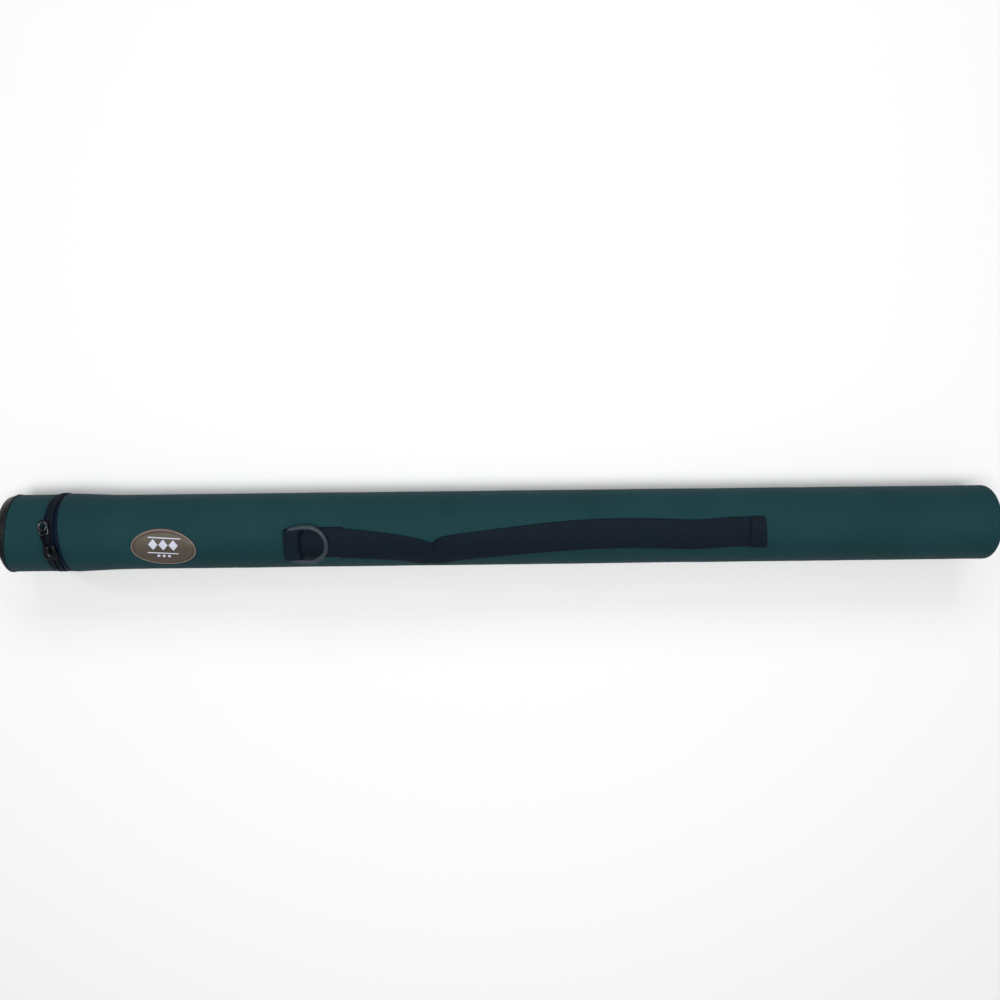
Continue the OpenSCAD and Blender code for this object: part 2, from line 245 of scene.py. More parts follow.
def thread(name, pts, nors, stitch=2.6, gap=0.9, width=0.42, height=0.3, sink=0.05):
    """A row of sewn stitches along pts, lying on a surface with normals nors."""
    pts, nors = np.asarray(pts, float), np.asarray(nors, float)
    L = np.concatenate([[0], np.cumsum(np.linalg.norm(np.diff(pts, axis=0), axis=1))])
    n = max(1, int(L[-1] // (stitch + gap)))
    pitch = L[-1] / n
    parts = []
    segs, sides = 6, 6
    for k in range(n):
        a0, a1 = k * pitch + gap / 2, (k + 1) * pitch - gap / 2
        s = np.linspace(a0, a1, segs + 1)
        c = np.stack([np.interp(s, L, pts[:, i]) for i in range(3)], -1)
        m = np.stack([np.interp(s, L, nors[:, i]) for i in range(3)], -1)
        m /= np.linalg.norm(m, axis=1)[:, None]
        f = np.sin(np.linspace(0.12, 1 - 0.12, segs + 1) * PI) ** 0.45
        c = c + m * (height * 0.5 * f - sink)[:, None]
        tan = np.gradient(c, axis=0)
        tan /= np.linalg.norm(tan, axis=1)[:, None]
        side = np.cross(tan, m)
        side /= np.linalg.norm(side, axis=1)[:, None]
        a = np.arange(sides) / sides * 2 * PI
        P = c[:, None] + (width / 2 * f)[:, None, None] * np.cos(a)[None, :, None] * side[:, None] + (height / 2 * f)[:, None, None] * np.sin(a)[None, :, None] * m[:, None]
        uv = np.stack(np.meshgrid(s.tolist() + [s[-1]], np.arange(sides + 1) / sides * 1.2, indexing="ij")[::-1], -1)
        parts.append(grid_arrays(P, closed_j=True, uv=uv, pole0=c[0] - tan[0] * 0.05, pole1=c[-1] + tan[-1] * 0.05))
    return parts


def outline_plate(name, outer, holes=(), half=0.6, bevel=0.2, res=2):
    """Arrays of a flat plate in X-Y with rounded edges, from closed outlines in mm."""
    cu = bpy.data.curves.new(name + "_outline", "CURVE")
    cu.dimensions = "2D"
    cu.fill_mode = "BOTH"
    cu.extrude = max(0.0, half - bevel)
    cu.bevel_depth = bevel
    cu.bevel_resolution = res
    cu.offset = -bevel
    for pts in [outer, *holes]:
        sp = cu.splines.new("POLY")
        sp.points.add(len(pts) - 1)
        for p, q in zip(sp.points, pts):
            p.co = (q[0], q[1], 0, 1)
        sp.use_cyclic_u = True
    ob = bpy.data.objects.new(name + "_outline", cu)
    bpy.context.scene.collection.objects.link(ob)
    dg = bpy.context.evaluated_depsgraph_get()
    me = bpy.data.meshes.new_from_object(ob.evaluated_get(dg))
    bm = bmesh.new()
    bm.from_mesh(me)
    bmesh.ops.remove_doubles(bm, verts=bm.verts, dist=1e-4)
    bmesh.ops.triangulate(bm, faces=[f for f in bm.faces if len(f.verts) > 4])
    bpy.data.objects.remove(ob)
    bpy.data.curves.remove(cu)
    bpy.data.meshes.remove(me)
    return bm


def bm_arrays(bm, fn=None, scale_uv=1.0):
    """Arrays from a bmesh, its points passed through fn(x, y, z arrays) -> (n, 3)."""
    bm.verts.ensure_lookup_table()
    co = np.array([v.co[:] for v in bm.verts])
    for k, v in enumerate(bm.verts):
        v.index = k
    F = [[v.index for v in f.verts] for f in bm.faces]
    U = [(co[i][0] * scale_uv + 0.3 * co[i][2], co[i][1] * scale_uv + 0.3 * co[i][2]) for f in F for i in f]
    V = fn(co[:, 0], co[:, 1], co[:, 2]) if fn else co
    bm.free()
    return V, F, U


def cut_rows(bm, lo, hi, step, axis=1):
    """Cuts a bmesh into rows so that it can be bent."""
    n = [0, 0, 0]
    n[axis] = 1
    for t in np.arange(lo + step, hi - 1e-6, step):
        c = [0, 0, 0]
        c[axis] = float(t)
        bmesh.ops.bisect_plane(bm, geom=bm.verts[:] + bm.edges[:] + bm.faces[:], dist=1e-5, plane_co=c, plane_no=n)


def through(M):
    """Maps x, y, z arrays by a matrix."""
    A = np.array(M)
    return lambda x, y, z: (np.stack([x, y, z], -1) @ A[:3, :3].T) + A[:3, 3]


def rounded(w, h, r, cx=0.0, cy=0.0, n=6):
    """Rounded rectangle outline."""
    out = []
    for sx, sy, a0 in ((1, 1, 0), (-1, 1, 90), (-1, -1, 180), (1, -1, 270)):
        for k in range(n + 1):
            a = math.radians(a0 + 90 * k / n)
            out.append((cx + sx * (w / 2 - r) + r * math.cos(a), cy + sy * (h / 2 - r) + r * math.sin(a)))
    return out


# ------------------------------------------------------------------ material helpers
class Mat:
    def __init__(self, name, color, rough=0.5, metallic=0.0, spec=0.5, sheen=0.0, sheen_rough=0.5, coat=0.0, coat_rough=0.2, ior=1.5, sheen_tint=None):
        self.m = bpy.data.materials.new(name)
        self.m.use_nodes = True
        self.t = self.m.node_tree
        self.t.nodes.clear()
        self.out = self.t.nodes.new("ShaderNodeOutputMaterial")
        self.b = self.t.nodes.new("ShaderNodeBsdfPrincipled")
        self.t.links.new(self.b.outputs[0], self.out.inputs[0])
        for key, val in (("Base Color", (*color, 1)), ("Roughness", rough), ("Metallic", metallic), ("Specular IOR Level", spec), ("IOR", ior),
                         ("Sheen Weight", sheen), ("Sheen Roughness", sheen_rough), ("Coat Weight", coat), ("Coat Roughness", coat_rough)):
            self.b.inputs[key].default_value = val
        if sheen_tint:
            self.b.inputs["Sheen Tint"].default_value = (*sheen_tint, 1)
        self.color = color
        self._uv = None
        self._obj = None

    def n(self, kind, **kw):
        node = self.t.nodes.new(kind)
        for k, v in kw.items():
            setattr(node, k, v)
        return node

    def put(self, sock, v):
        if hasattr(v, "is_output") or isinstance(v, bpy.types.NodeSocket):
            self.t.links.new(v, sock)
        else:
            sock.default_value = v

    @property
    def uv(self):
        if self._uv is None:
            self._uv = self.n("ShaderNodeUVMap", uv_map="UVMap").outputs[0]
        return self._uv

    @property
    def obj(self):
        """Object coordinates in mm."""
        if self._obj is None:
            s = self.n("ShaderNodeVectorMath", operation="SCALE")
            self.t.links.new(self.n("ShaderNodeTexCoord").outputs["Object"], s.inputs[0])
            s.inputs["Scale"].default_value = 1000.0
            self._obj = s.outputs[0]
        return self._obj

    def xyz(self, vec):
        s = self.n("ShaderNodeSeparateXYZ")
        self.put(s.inputs[0], vec)
        return s.outputs

    def f(self, op, a, b=None, c=None, clamp=False):
        m = self.n("ShaderNodeMath", operation=op, use_clamp=clamp)
        self.put(m.inputs[0], a)
        if b is not None:
            self.put(m.inputs[1], b)
        if c is not None:
            self.put(m.inputs[2], c)
        return m.outputs[0]

    def noise(self, vec, scale, detail=3.0, rough=0.5, distortion=0.0):
        t = self.n("ShaderNodeTexNoise")
        self.put(t.inputs["Vector"], vec)
        t.inputs["Scale"].default_value = scale
        t.inputs["Detail"].default_value = detail
        t.inputs["Roughness"].default_value = rough
        t.inputs["Distortion"].default_value = distortion
        return t.outputs[0]

    def cells(self, vec, scale, feature="F1", rnd=1.0):
        t = self.n("ShaderNodeTexVoronoi", feature=feature)
        self.put(t.inputs["Vector"], vec)
        t.inputs["Scale"].default_value = scale
        t.inputs["Randomness"].default_value = rnd
        return t.outputs[0]

    def stretch(self, vec, s):
        m = self.n("ShaderNodeVectorMath", operation="MULTIPLY")
        self.put(m.inputs[0], vec)
        m.inputs[1].default_value = s
        return m.outputs[0]

    def ranged(self, v, lo, hi, a, b):
        m = self.n("ShaderNodeMapRange")
        self.put(m.inputs[0], v)
        for i, x in enumerate((lo, hi, a, b)):
            m.inputs[i + 1].default_value = x
        return m.outputs[0]

    def mix(self, fac, a, b):
        m = self.n("ShaderNodeMix", data_type="RGBA")
        self.put(m.inputs[0], fac)
        self.put(m.inputs[6], a if isinstance(a, bpy.types.NodeSocket) else (*a, 1))
        self.put(m.inputs[7], b if isinstance(b, bpy.types.NodeSocket) else (*b, 1))
        return m.outputs[2]

    def bump(self, height, strength, dist_mm, normal=None):
        b = self.n("ShaderNodeBump")
        self.put(b.inputs["Height"], height)
        b.inputs["Strength"].default_value = strength
        b.inputs["Distance"].default_value = dist_mm * MM
        if normal is not None:
            self.put(b.inputs["Normal"], normal)
        return b.outputs[0]

    def set(self, color=None, rough=None, normal=None):
        if color is not None:
            self.put(self.b.inputs["Base Color"], color)
        if rough is not None:
            self.put(self.b.inputs["Roughness"], rough)
        if normal is not None:
            self.put(self.b.inputs["Normal"], normal)
        return self.m

    def shade(self, k):
        return tuple(min(1, c * k) for c in self.color)


def weave(M, u, v, pitch):
    """Height of a plain weave and the mask of the cells where the warp is on top."""
    su = M.f("SINE", M.f("MULTIPLY", u, PI / pitch))
    sv = M.f("SINE", M.f("MULTIPLY", v, PI / pitch))
    a, b = M.f("ABSOLUTE", su), M.f("ABSOLUTE", sv)
    top = M.f("GREATER_THAN", M.f("MULTIPLY", su, sv), 0.0)
    ab = M.f("MULTIPLY", a, b)
    long = M.f("ADD", M.f("MULTIPLY", a, top), M.f("MULTIPLY", b, M.f("SUBTRACT", 1.0, top)))
    return M.f("ADD", M.f("MULTIPLY", ab, 0.65), M.f("MULTIPLY", long, 0.35)), top


def nylon(name, color, uv=True, pitch=0.62):
    M = Mat(name, color, rough=0.62, spec=0.05)
    vec = M.uv if uv else M.obj
    o = M.xyz(vec)
    h, top = weave(M, o[0], o[1], pitch)
    slub = M.noise(M.stretch(vec, (0.35, 2.2, 1.0)), 1.0, 2.0)
    slub2 = M.noise(M.stretch(vec, (2.2, 0.3, 1.0)), 1.0, 2.0)
    blot = M.noise(M.obj, 0.018, 4.0, 0.55)
    fine = M.noise(M.obj, 0.5, 3.0, 0.6)
    f1 = M.ranged(blot, 0.3, 0.7, 0.0, 1.0)
    c = M.mix(f1, M.shade(0.9), M.shade(1.1))
    c = M.mix(M.f("MULTIPLY", top, 0.2), c, M.shade(1.3))
    c = M.mix(M.ranged(fine, 0.35, 0.75, 0.0, 0.3), c, M.shade(0.72))
    c = M.mix(M.ranged(slub, 0.55, 0.8, 0.0, 0.22), c, M.shade(1.5))
    hh = M.f("ADD", h, M.f("MULTIPLY", M.f("ADD", slub, slub2), 0.5))
    nrm = M.bump(M.noise(M.obj, 0.035, 3.0), 0.35, 0.6)
    nrm = M.bump(hh, 0.55, 0.12, nrm)
    return M.set(c, M.ranged(slub2, 0.3, 0.7, 0.54, 0.68), nrm)


def vinyl(name, color, rough=0.27):
    M = Mat(name, color, rough=rough, spec=0.22)
    v = M.obj
    warp = M.noise(v, 0.9, 2.0)
    c1 = M.cells(v, 1.05, "DISTANCE_TO_EDGE")
    c2 = M.cells(v, 2.3, "DISTANCE_TO_EDGE")
    grain = M.f("ADD", M.ranged(c1, 0.0, 0.16, 0.0, 1.0), M.f("MULTIPLY", M.ranged(c2, 0.0, 0.16, 0.0, 1.0), 0.4))
    grain = M.f("ADD", grain, M.f("MULTIPLY", warp, 0.5))
    worn = M.ranged(M.noise(v, 0.09, 4.0), 0.55, 0.75, 0.0, 1.0)
    # painted shade: the crevices between the grain cells are darkened in the colour
    c = M.mix(M.ranged(c1, 0.0, 0.08, 0.55, 0.0), M.shade(1.0), M.shade(0.4))
    c = M.mix(M.f("MULTIPLY", worn, 0.35), c, M.shade(1.9))
    r = M.ranged(grain, 0.2, 1.6, rough + 0.16, rough - 0.06)
    return M.set(c, r, M.bump(grain, 0.5, 0.14, M.bump(M.noise(v, 0.06, 3.0), 0.4, 0.7)))


def webbing(name, color, rib=1.55, stitch=1.7):
    """u across the webbing, v along it, in mm."""
    M = Mat(name, color, rough=0.6, spec=0.12)
    o = M.xyz(M.uv)
    col = M.f("DIVIDE", o[0], rib)
    ribs = M.f("ABSOLUTE", M.f("SINE", M.f("MULTIPLY", col, PI)))
    odd = M.f("MODULO", M.f("FLOOR", M.f("ADD", col, 64.0)), 2.0)
    slant = M.f("MULTIPLY", M.f("SUBTRACT", M.f("FRACT", M.f("ADD", col, 64.0)), 0.5), M.f("SUBTRACT", M.f("MULTIPLY", odd, 2.0), 1.0))
    row = M.f("ADD", M.f("DIVIDE", o[1], stitch), M.f("ADD", M.f("MULTIPLY", slant, 0.9), M.f("MULTIPLY", odd, 0.5)))
    picks = M.f("ABSOLUTE", M.f("SINE", M.f("MULTIPLY", row, PI)))
    fib = M.noise(M.stretch(M.uv, (9.0, 1.2, 1.0)), 1.0, 2.0)
    h = M.f("ADD", M.f("ADD", M.f("MULTIPLY", M.f("POWER", ribs, 0.6), 0.6), M.f("MULTIPLY", M.f("POWER", picks, 0.5), 0.5)), M.f("MULTIPLY", fib, 0.25))
    # painted shade: the colour follows the weave's height, darker in the valleys between ribs and picks and lighter on
    # their tops
    c = M.mix(M.ranged(h, 0.55, 1.25, 0.0, 1.0), M.shade(0.5), M.shade(1.15))
    c = M.mix(M.ranged(M.noise(M.obj, 0.05, 4.0), 0.45, 0.75, 0.0, 0.4), c, M.shade(1.45))
    c = M.mix(M.ranged(fib, 0.5, 0.8, 0.0, 0.35), c, M.shade(1.7))
    return M.set(c, M.ranged(fib, 0.3, 0.7, 0.56, 0.7), M.bump(h, 0.8, 0.3))


def tape_cloth(name, color):
    """Herringbone tape: u round the tube, v across the tape."""
    M = Mat(name, color, rough=0.55, spec=0.07)
    o = M.xyz(M.uv)
    zig = M.f("PINGPONG", o[1], 1.1)
    row = M.f("ADD", M.f("DIVIDE", o[0], 0.75), M.f("MULTIPLY", zig, 1.1))
    h = M.f("ABSOLUTE", M.f("SINE", M.f("MULTIPLY", row, PI)))
    fib = M.noise(M.uv, 3.0, 2.0)
    # painted shade: the herringbone's grooves are darker and its ridges lighter, taken from the bump's height
    c = M.mix(M.ranged(h, 0.2, 0.9, 0.0, 1.0), M.shade(0.55), M.shade(1.15))
    c = M.mix(M.ranged(M.noise(M.obj, 0.12, 4.0), 0.45, 0.7, 0.0, 0.6), c, M.shade(1.9))
    return M.set(c, M.ranged(fib, 0.3, 0.7, 0.52, 0.7), M.bump(M.f("ADD", h, M.f("MULTIPLY", fib, 0.4)), 0.6, 0.16))


def plastic(name, color, rough=0.35, spec=0.5, grain=0.25, scale=1.2, spread=0.12, uv=False):
    M = Mat(name, color, rough=rough, spec=spec)
    v = M.uv if uv else M.obj
    n1 = M.noise(v, scale, 3.0)
    n2 = M.noise(v, scale * 0.06, 3.0)
    c = M.mix(M.ranged(n2, 0.3, 0.7, 0.0, 1.0), M.shade(1 - spread), M.shade(1 + spread))
    c = M.mix(M.ranged(n1, 0.55, 0.75, 0.0, 0.3), c, M.shade(1.5))
    return M.set(c, M.ranged(n1, 0.3, 0.7, rough - 0.05, rough + 0.08), M.bump(n1, grain, 0.12))


def metal(name, color, rough=0.32, scratch=0.35, worn=None, metallic=1.0):
    M = Mat(name, color, rough=rough, metallic=metallic, spec=0.5)
    v = M.obj
    s1 = M.noise(M.stretch(v, (0.6, 7.0, 7.0)), 1.0, 3.0)
    s2 = M.noise(M.stretch(v, (6.0, 0.5, 6.0)), 1.0, 3.0)
    pit = M.noise(v, 2.2, 4.0, 0.6)
    big = M.noise(v, 0.16, 3.0)
    c = M.mix(M.ranged(big, 0.3, 0.7, 0.0, 1.0), M.shade(0.82), M.shade(1.18))
    c = M.mix(M.ranged(pit, 0.6, 0.78, 0.0, 0.5), c, M.shade(0.55))
    if worn:
        c = M.mix(M.ranged(M.f("ADD", s1, M.f("MULTIPLY", pit, 0.4)), 0.78, 0.95, 0.0, 0.55), c, worn)
    h = M.f("ADD", M.f("MULTIPLY", s1, 0.5), M.f("ADD", M.f("MULTIPLY", s2, 0.4), M.f("MULTIPLY", pit, 0.5)))
    return M.set(c, M.ranged(pit, 0.3, 0.7, rough - 0.07, rough + 0.14), M.bump(h, scratch, 0.06))


def yarn(name, color):
    M = Mat(name, color, rough=0.5, spec=0.12)
    o = M.xyz(M.uv)
    tw = M.f("SINE", M.f("MULTIPLY", M.f("ADD", M.f("MULTIPLY", o[0], 2.0), o[1]), 2 * PI / 0.55))
    # painted shade: the twist's grooves are darker and its ridges lighter, from the same wave as the bump
    c = M.mix(M.ranged(tw, -1.0, 1.0, 0.0, 1.0), M.shade(0.6), M.shade(1.15))
    c = M.mix(M.ranged(M.noise(M.obj, 0.2, 3.0), 0.4, 0.7, 0.0, 0.4), c, M.shade(1.4))
    return M.set(c, M.ranged(tw, -1, 1, 0.58, 0.46), M.bump(tw, 0.5, 0.05))


def foam(name, color):
    M = Mat(name, color, rough=0.9, spec=0.2)
    c1 = M.cells(M.obj, 1.4)
    n = M.noise(M.obj, 0.3, 4.0)
    # painted shade: the pores, the low points of the bump, are darkened in the colour
    c = M.mix(M.ranged(c1, 0.0, 0.5, 0.0, 1.0), M.shade(0.55), M.shade(1.1))
    c = M.mix(M.ranged(n, 0.35, 0.7, 0.0, 0.5), c, M.shade(0.8))
    return M.set(c, M.ranged(n, 0.3, 0.7, 0.82, 0.95), M.bump(c1, 0.8, 0.35))


GREEN = (0.0093, 0.0409, 0.0477)
BADGE_TONE = (0.090, 0.075, 0.059)
m_nylon = nylon("green_nylon", GREEN)
m_vinyl = vinyl("black_vinyl", (0.0022, 0.0030, 0.0040))
m_piping = vinyl("piping_vinyl", (0.0016, 0.0022, 0.0028), 0.5)
m_tape = tape_cloth("zip_tape_cloth", (0.0014, 0.0060, 0.0150))
m_coil = plastic("zip_coil_nylon", (0.0013, 0.0052, 0.0125), 0.38, 0.24, 0.25, 1.6)
m_web = webbing("navy_webbing", (0.0015, 0.0066, 0.0139))
m_thread = yarn("dark_thread", (0.006, 0.012, 0.018))
m_thread_green = yarn("green_thread", (0.006, 0.036, 0.043))
m_slider = metal("slider_gunmetal", (0.030, 0.034, 0.040), 0.30, 0.35, (0.16, 0.17, 0.18))
m_pull = metal("pull_gunmetal", (0.010, 0.013, 0.017), 0.26, 0.35, (0.10, 0.11, 0.12))
# painted highlight: the pull's border is given a brighter metal colour to stand in for the glint along the tab's
# polished edge
m_pull_painted_glint = metal("pull_edge_painted_glint", (0.15, 0.17, 0.19), 0.22, 0.25, (0.28, 0.30, 0.32))
m_ring = metal("ring_slate", (0.021, 0.034, 0.046), 0.48, 0.25, (0.07, 0.09, 0.11), 0.3)
m_shell = plastic("shell_plastic", (0.022, 0.022, 0.024), 0.45, 0.5, 0.3, 0.6)
m_liner = plastic("liner_plastic", (0.030, 0.031, 0.034), 0.5, 0.45, 0.3, 0.8)
m_collar = foam("collar_foam", (0.022, 0.022, 0.025))
m_pad = foam("pad_foam", (0.055, 0.055, 0.062))
m_hinge = tape_cloth("hinge_cloth", (0.0012, 0.0044, 0.0110))


def badge_material():
    M = Mat("badge_satin", BADGE_TONE, rough=0.45, metallic=0.3, spec=0.3)
    u = M.uv
    brush = M.noise(M.stretch(u, (0.25, 9.0, 1.0)), 1.0, 3.0, 0.6)
    brush2 = M.noise(M.stretch(u, (0.9, 16.0, 1.0)), 1.0, 2.0, 0.6)
    big = M.noise(M.obj, 0.06, 3.0)
    c = M.mix(M.ranged(big, 0.3, 0.7, 0.0, 1.0), M.shade(0.86), M.shade(1.12))
    c = M.mix(M.ranged(brush, 0.35, 0.7, 0.0, 0.4), c, tuple(1.26 * c for c in BADGE_TONE))
    c = M.mix(M.ranged(brush2, 0.55, 0.75, 0.0, 0.35), c, tuple(0.52 * c for c in BADGE_TONE))
    h = M.f("ADD", brush, M.f("MULTIPLY", brush2, 0.6))
    return M.set(c, M.ranged(brush, 0.3, 0.7, 0.36, 0.5), M.bump(h, 0.25, 0.05))


m_badge = badge_material()
m_rim = plastic("badge_rim_enamel", (0.170, 0.120, 0.100), 0.4, 0.5, 0.15, 1.5)
m_print = plastic("badge_print_ink", (0.54, 0.56, 0.66), 0.5, 0.4, 0.2, 1.8, 0.06)


def dress(ob, mat, body, replaces=()):
    ob.data.materials.clear()
    ob.data.materials.append(mat)
    if body:
        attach(ob, body)
    if replaces:
        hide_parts(*replaces)
    return ob


PHI = np.arange(0, 360, 2.0) + 270.0              # round the tube, with the join underneath

# ------------------------------------------------------------------ long body: the nylon sleeve
def body_radius(x):
    return BODY_R + (MOUTH_R - BODY_R) * ease((MOUTH + 46.0 - x) / 46.0)


def sleeve():
    xs = np.concatenate([np.array([0.0, 0.25, 0.6, 1.0, 1.5, 2.0, 2.4, 2.8, 3.4, 4.2, 5.2, 6.2, 7.0, 7.5, 8.2, 9.5, 11.5]) , np.arange(14, 748, 2.6),
                         np.array([748.5, 750, 751, 751.8, 752.4, 752.9, 753.4, 753.9, 754.3, 754.6])])
    xs = xs / xs[-1]
    edge = mouth_edge(PHI)[None, :]
    X = edge + (SEAM - edge) * xs[:, None]
    d = X - edge                                   # distance from the mouth's edge
    e = SEAM - X                                   # distance from the end seam
    R = body_radius(X) + wave(X, PHI[None, :]) * np.minimum(1, np.minimum(d / 25, e / 12))
    ph = np.radians(PHI)[None, :]
    R = R + 0.10 * ease((8.0 - d) / 0.9)            # the hem's two layers
    R = R - 0.11 * np.exp(-((d - 1.8) / 0.40) ** 2)  # pulled in by the topstitch
    R = R - 0.40 * ease((1.2 - d) / 1.2)            # rolled edge
    R = R - 0.05 * np.exp(-e / 2.4) - 0.06 * ease((1.0 - e) / 1.0)
    R = R + np.exp(-(e / 6.0) ** 2) * 0.10 * np.sin(41 * ph + 0.6 * np.sin(7 * ph)) * ease(e / 1.5)
    R = R + np.exp(-((d - 9.0) / 7.0) ** 2) * 0.06 * np.sin(33 * ph + 0.8 * np.sin(5 * ph))
    # the lengthwise seam underneath
    off = np.abs((PHI[None, :] - 270 + 180) % 360 - 180) * PI / 180 * BODY_R
    R = R - 0.28 * np.exp(-(off / 0.7) ** 2) + 0.08 * np.exp(-((off - 2.6) / 1.4) ** 2)
    k = np.linspace(len(xs) - 1, 0, 60).round().astype(int)
    Xi = X[k].copy()
    Ri = np.minimum(body_radius(Xi) - 0.78, R[k] - 0.4)
    Xi[0] -= 0.15
    Xi[-1] += 0.15
    return revolve("nylon_sleeve", np.concatenate([X, Xi]), np.concatenate([R, Ri]), PHI)


body_cover = dress(sleeve(), m_nylon, "case", ["tube_cover"])


def edge_rows(name, edge_fn, r_fn, offset, body, mat, stitch=2.7, gap=1.0, skip=None):
    phis = np.arange(0, 360.01, 1.0)
    x = edge_fn(phis) + offset
    pts = pos(x, phis, r_fn(x))
    nors = pos(0, phis, 1.0) - pos(0, phis, 0.0)
    ob = finish_mesh(name, *joined(thread(name, pts, nors, stitch, gap)), smooth=60)
    return dress(ob, mat, body)


edge_rows("mouth_topstitch", mouth_edge, lambda x: body_radius(x) - 0.02, 2.4, "case", m_thread_green)


def end_disc():
    ph = PHI[None, :]
    rad = np.radians(PHI)[None, :]
    rc = 3.4
    prof = [(SEAM + 0.25, BODY_R - 0.75), (SEAM + 0.15, BODY_R - 0.35), (SEAM + 0.5, BODY_R - 0.05), (SEAM + 1.1, BODY_R + 0.05), (SEAM + 2.4, BODY_R + 0.06)]
    for t in np.linspace(0, 90, 12):
        a = math.radians(t)
        prof.append((X1 - rc + rc * math.sin(a), BODY_R - rc + rc * math.cos(a)))
    for r in (26.5, 25.2, 24, 21, 17, 12, 7, 3, 1):
        prof.append((X1 - 0.0 - 0.10 * (1 - (r / 26.5) ** 2) * 0 , r))
    inner = [(X1 - 1.3, r) for r in (1, 7, 17, 24, 28)] + [(X1 - 2.6, 29.9), (X1 - 5, 30.2), (SEAM + 0.4, 30.2)]
    X = np.array([p[0] for p in prof])[:, None] + 0 * ph
    R = np.array([p[1] for p in prof])[:, None] + 0 * ph
    d = X - SEAM
    R = R + np.where(R > 28, np.exp(-(d / 4.0) ** 2) * 0.10 * np.sin(41 * rad + 0.6 * np.sin(7 * rad)), 0)
    X = X - 0.12 * (0.5 + 0.5 * np.sin(3 * rad + 0.08 * R)) * ease((R - 4) / 8) * ease((29.5 - R) / 3)
    Xi = np.array([p[0] for p in inner])[:, None] + 0 * ph
    Ri = np.array([p[1] for p in inner])[:, None] + 0 * ph
    # from the pole outside, out to the seam, and back to the pole inside
    Xa = np.concatenate([X[::-1], Xi[::-1]])
    Ra = np.concatenate([R[::-1], Ri[::-1]])
    ob = revolve("end_panel_cloth", Xa, Ra, PHI, closed_profile=False, poles=True)
    me = ob.data                                    # planar weave on the flat of the panel
    uvl = me.uv_layers["UVMap"].data
    co = np.array([v.co[:] for v in me.vertices]) / MM
    li = np.zeros(len(me.loops), int)
    me.loops.foreach_get("vertex_index", li)
    uv = np.stack([co[li, 1], co[li, 2] - ZC], -1)
    uvl.foreach_set("uv", uv.astype(np.float32).ravel())
    return ob


end_cloth = dress(end_disc(), m_nylon, "case", ["end_panel"])

# ------------------------------------------------------------------ lid
def lid_sleeve():
    s = np.array([0, .2, .5, .9, 1.5, 2.0, 2.4, 2.8, 3.5, 4.5, 6, 8, 10.5, 13, 16, 19, 22, 24.5, 26.5, 28, 29, 29.6, 30.1, 30.5])
    s = s / s[-1]
    a, b = lid_edge(PHI)[None, :], cap_seam(PHI)[None, :] + 0.25
    X = a + (b - a) * s[:, None]
    d, e = a - X, X - b
    rad = np.radians(PHI)[None, :]
    R = LID_R + 0.55 * wave(X, PHI[None, :]) * np.minimum(1, np.minimum(d, e) / 5)
    R = R - 0.11 * np.exp(-((d - 1.8) / 0.40) ** 2) - 0.25 * ease((0.8 - d) / 0.8)
    R = R - 0.35 * ease((1.6 - e) / 1.6) + 0.05 * np.exp(-((e - 3) / 2.5) ** 2) * np.sin(38 * rad)
    k = np.linspace(len(s) - 1, 0, 12).round().astype(int)
    Xi = X[k].copy()
    Ri = np.full_like(Xi, LID_R - 0.86)
    Xi[0] += 0.15
    Xi[-1] -= 0.15
    return revolve("lid_sleeve_cloth", np.concatenate([X, Xi]), np.concatenate([R, Ri]), PHI)


lid_cloth = dress(lid_sleeve(), m_nylon, "lid", ["lid_cover"])
edge_rows("lid_topstitch", lid_edge, lambda x: LID_R + 0 * x, -2.4, "lid", m_thread_green)


def cap_vinyl():
    s, c = th(PHI)
    rc = np.minimum(4.7 - 2.1 * s, 7.3 - 2.6 * s - 4.0 * s * s)[None, :]                  # slumps more on the far side
    seam = cap_seam(PHI)[None, :]
    X, R = [], []
    flat = LID_R - rc
    for f in (0.03, 0.15, 0.35, 0.6, 0.8, 0.92, 0.98):
        R.append(flat * f)
        X.append(X0 + 0.22 * (1 - (1 - f) ** 2) * 0 + 0.25 * ease((f - 0.55) / 0.45) + 0 * flat)
    for t in np.linspace(6, 90, 14):
        a = math.radians(t)
        X.append(X0 + 0.25 + (rc) * (1 - math.cos(a)))
        R.append(LID_R - rc * (1 - math.sin(a)))
    X, R = np.concatenate(X), np.concatenate(R)
    n = X.shape[0]
    last = X[-1]
    for f in (0.5, 0.85, 1.0):
        X = np.concatenate([X, (last + np.maximum(seam[0] - 0.35 - last, 0.1) * f)[None]])
        R = np.concatenate([R, (LID_R + 0.03 - (0.3 if f == 1.0 else 0.0) + 0 * last)[None]])
    rad = np.radians(PHI)[None, :]
    R = R + 0.05 * np.sin(27 * rad + np.sin(4 * rad)) * ease((R - 30.5) / 1.2)
    X = X + 0.10 * np.sin(2 * rad + R / 6) * ease((R - 5) / 8) * ease((28 - R) / 4)
    X = np.maximum(X, X0)
    k = np.linspace(n + 2, 0, 12).round().astype(int)
    Xi = X[k] + 1.05 * ease((30.5 - R[k]) / 3) + 0.1
    Ri = np.minimum(R[k], LID_R - 0.85)
    Xi[0] = X[-1]
    return revolve("end_cap_vinyl", np.concatenate([X, Xi]), np.concatenate([R, Ri]), PHI, closed_profile=False, poles=True)


cap = dress(cap_vinyl(), m_vinyl, "lid", ["lid_end_cap"])


def piping():
    phis = np.arange(0, 360, 1.5)
    path = pos(cap_seam(phis) - 0.05, phis, LID_R + 0.02)
    up = pos(0, phis, 1.0) - pos(0, phis, 0.0)
    return finish_mesh("cap_piping_cord", *tube_along(path, 0.72, 12, closed=True, up=up, squeeze=0.72), smooth=60)


dress(piping(), m_piping, "lid", ["lid_piping"])

# ------------------------------------------------------------------ zip: tapes, teeth, stops
TAPE_PHI = np.concatenate([[18.4, 18.9], np.arange(20, 340.1, 1.5), [341.1, 341.6]])
CLOSED_W = 0.35                                    # coil's nose past the fold line when closed


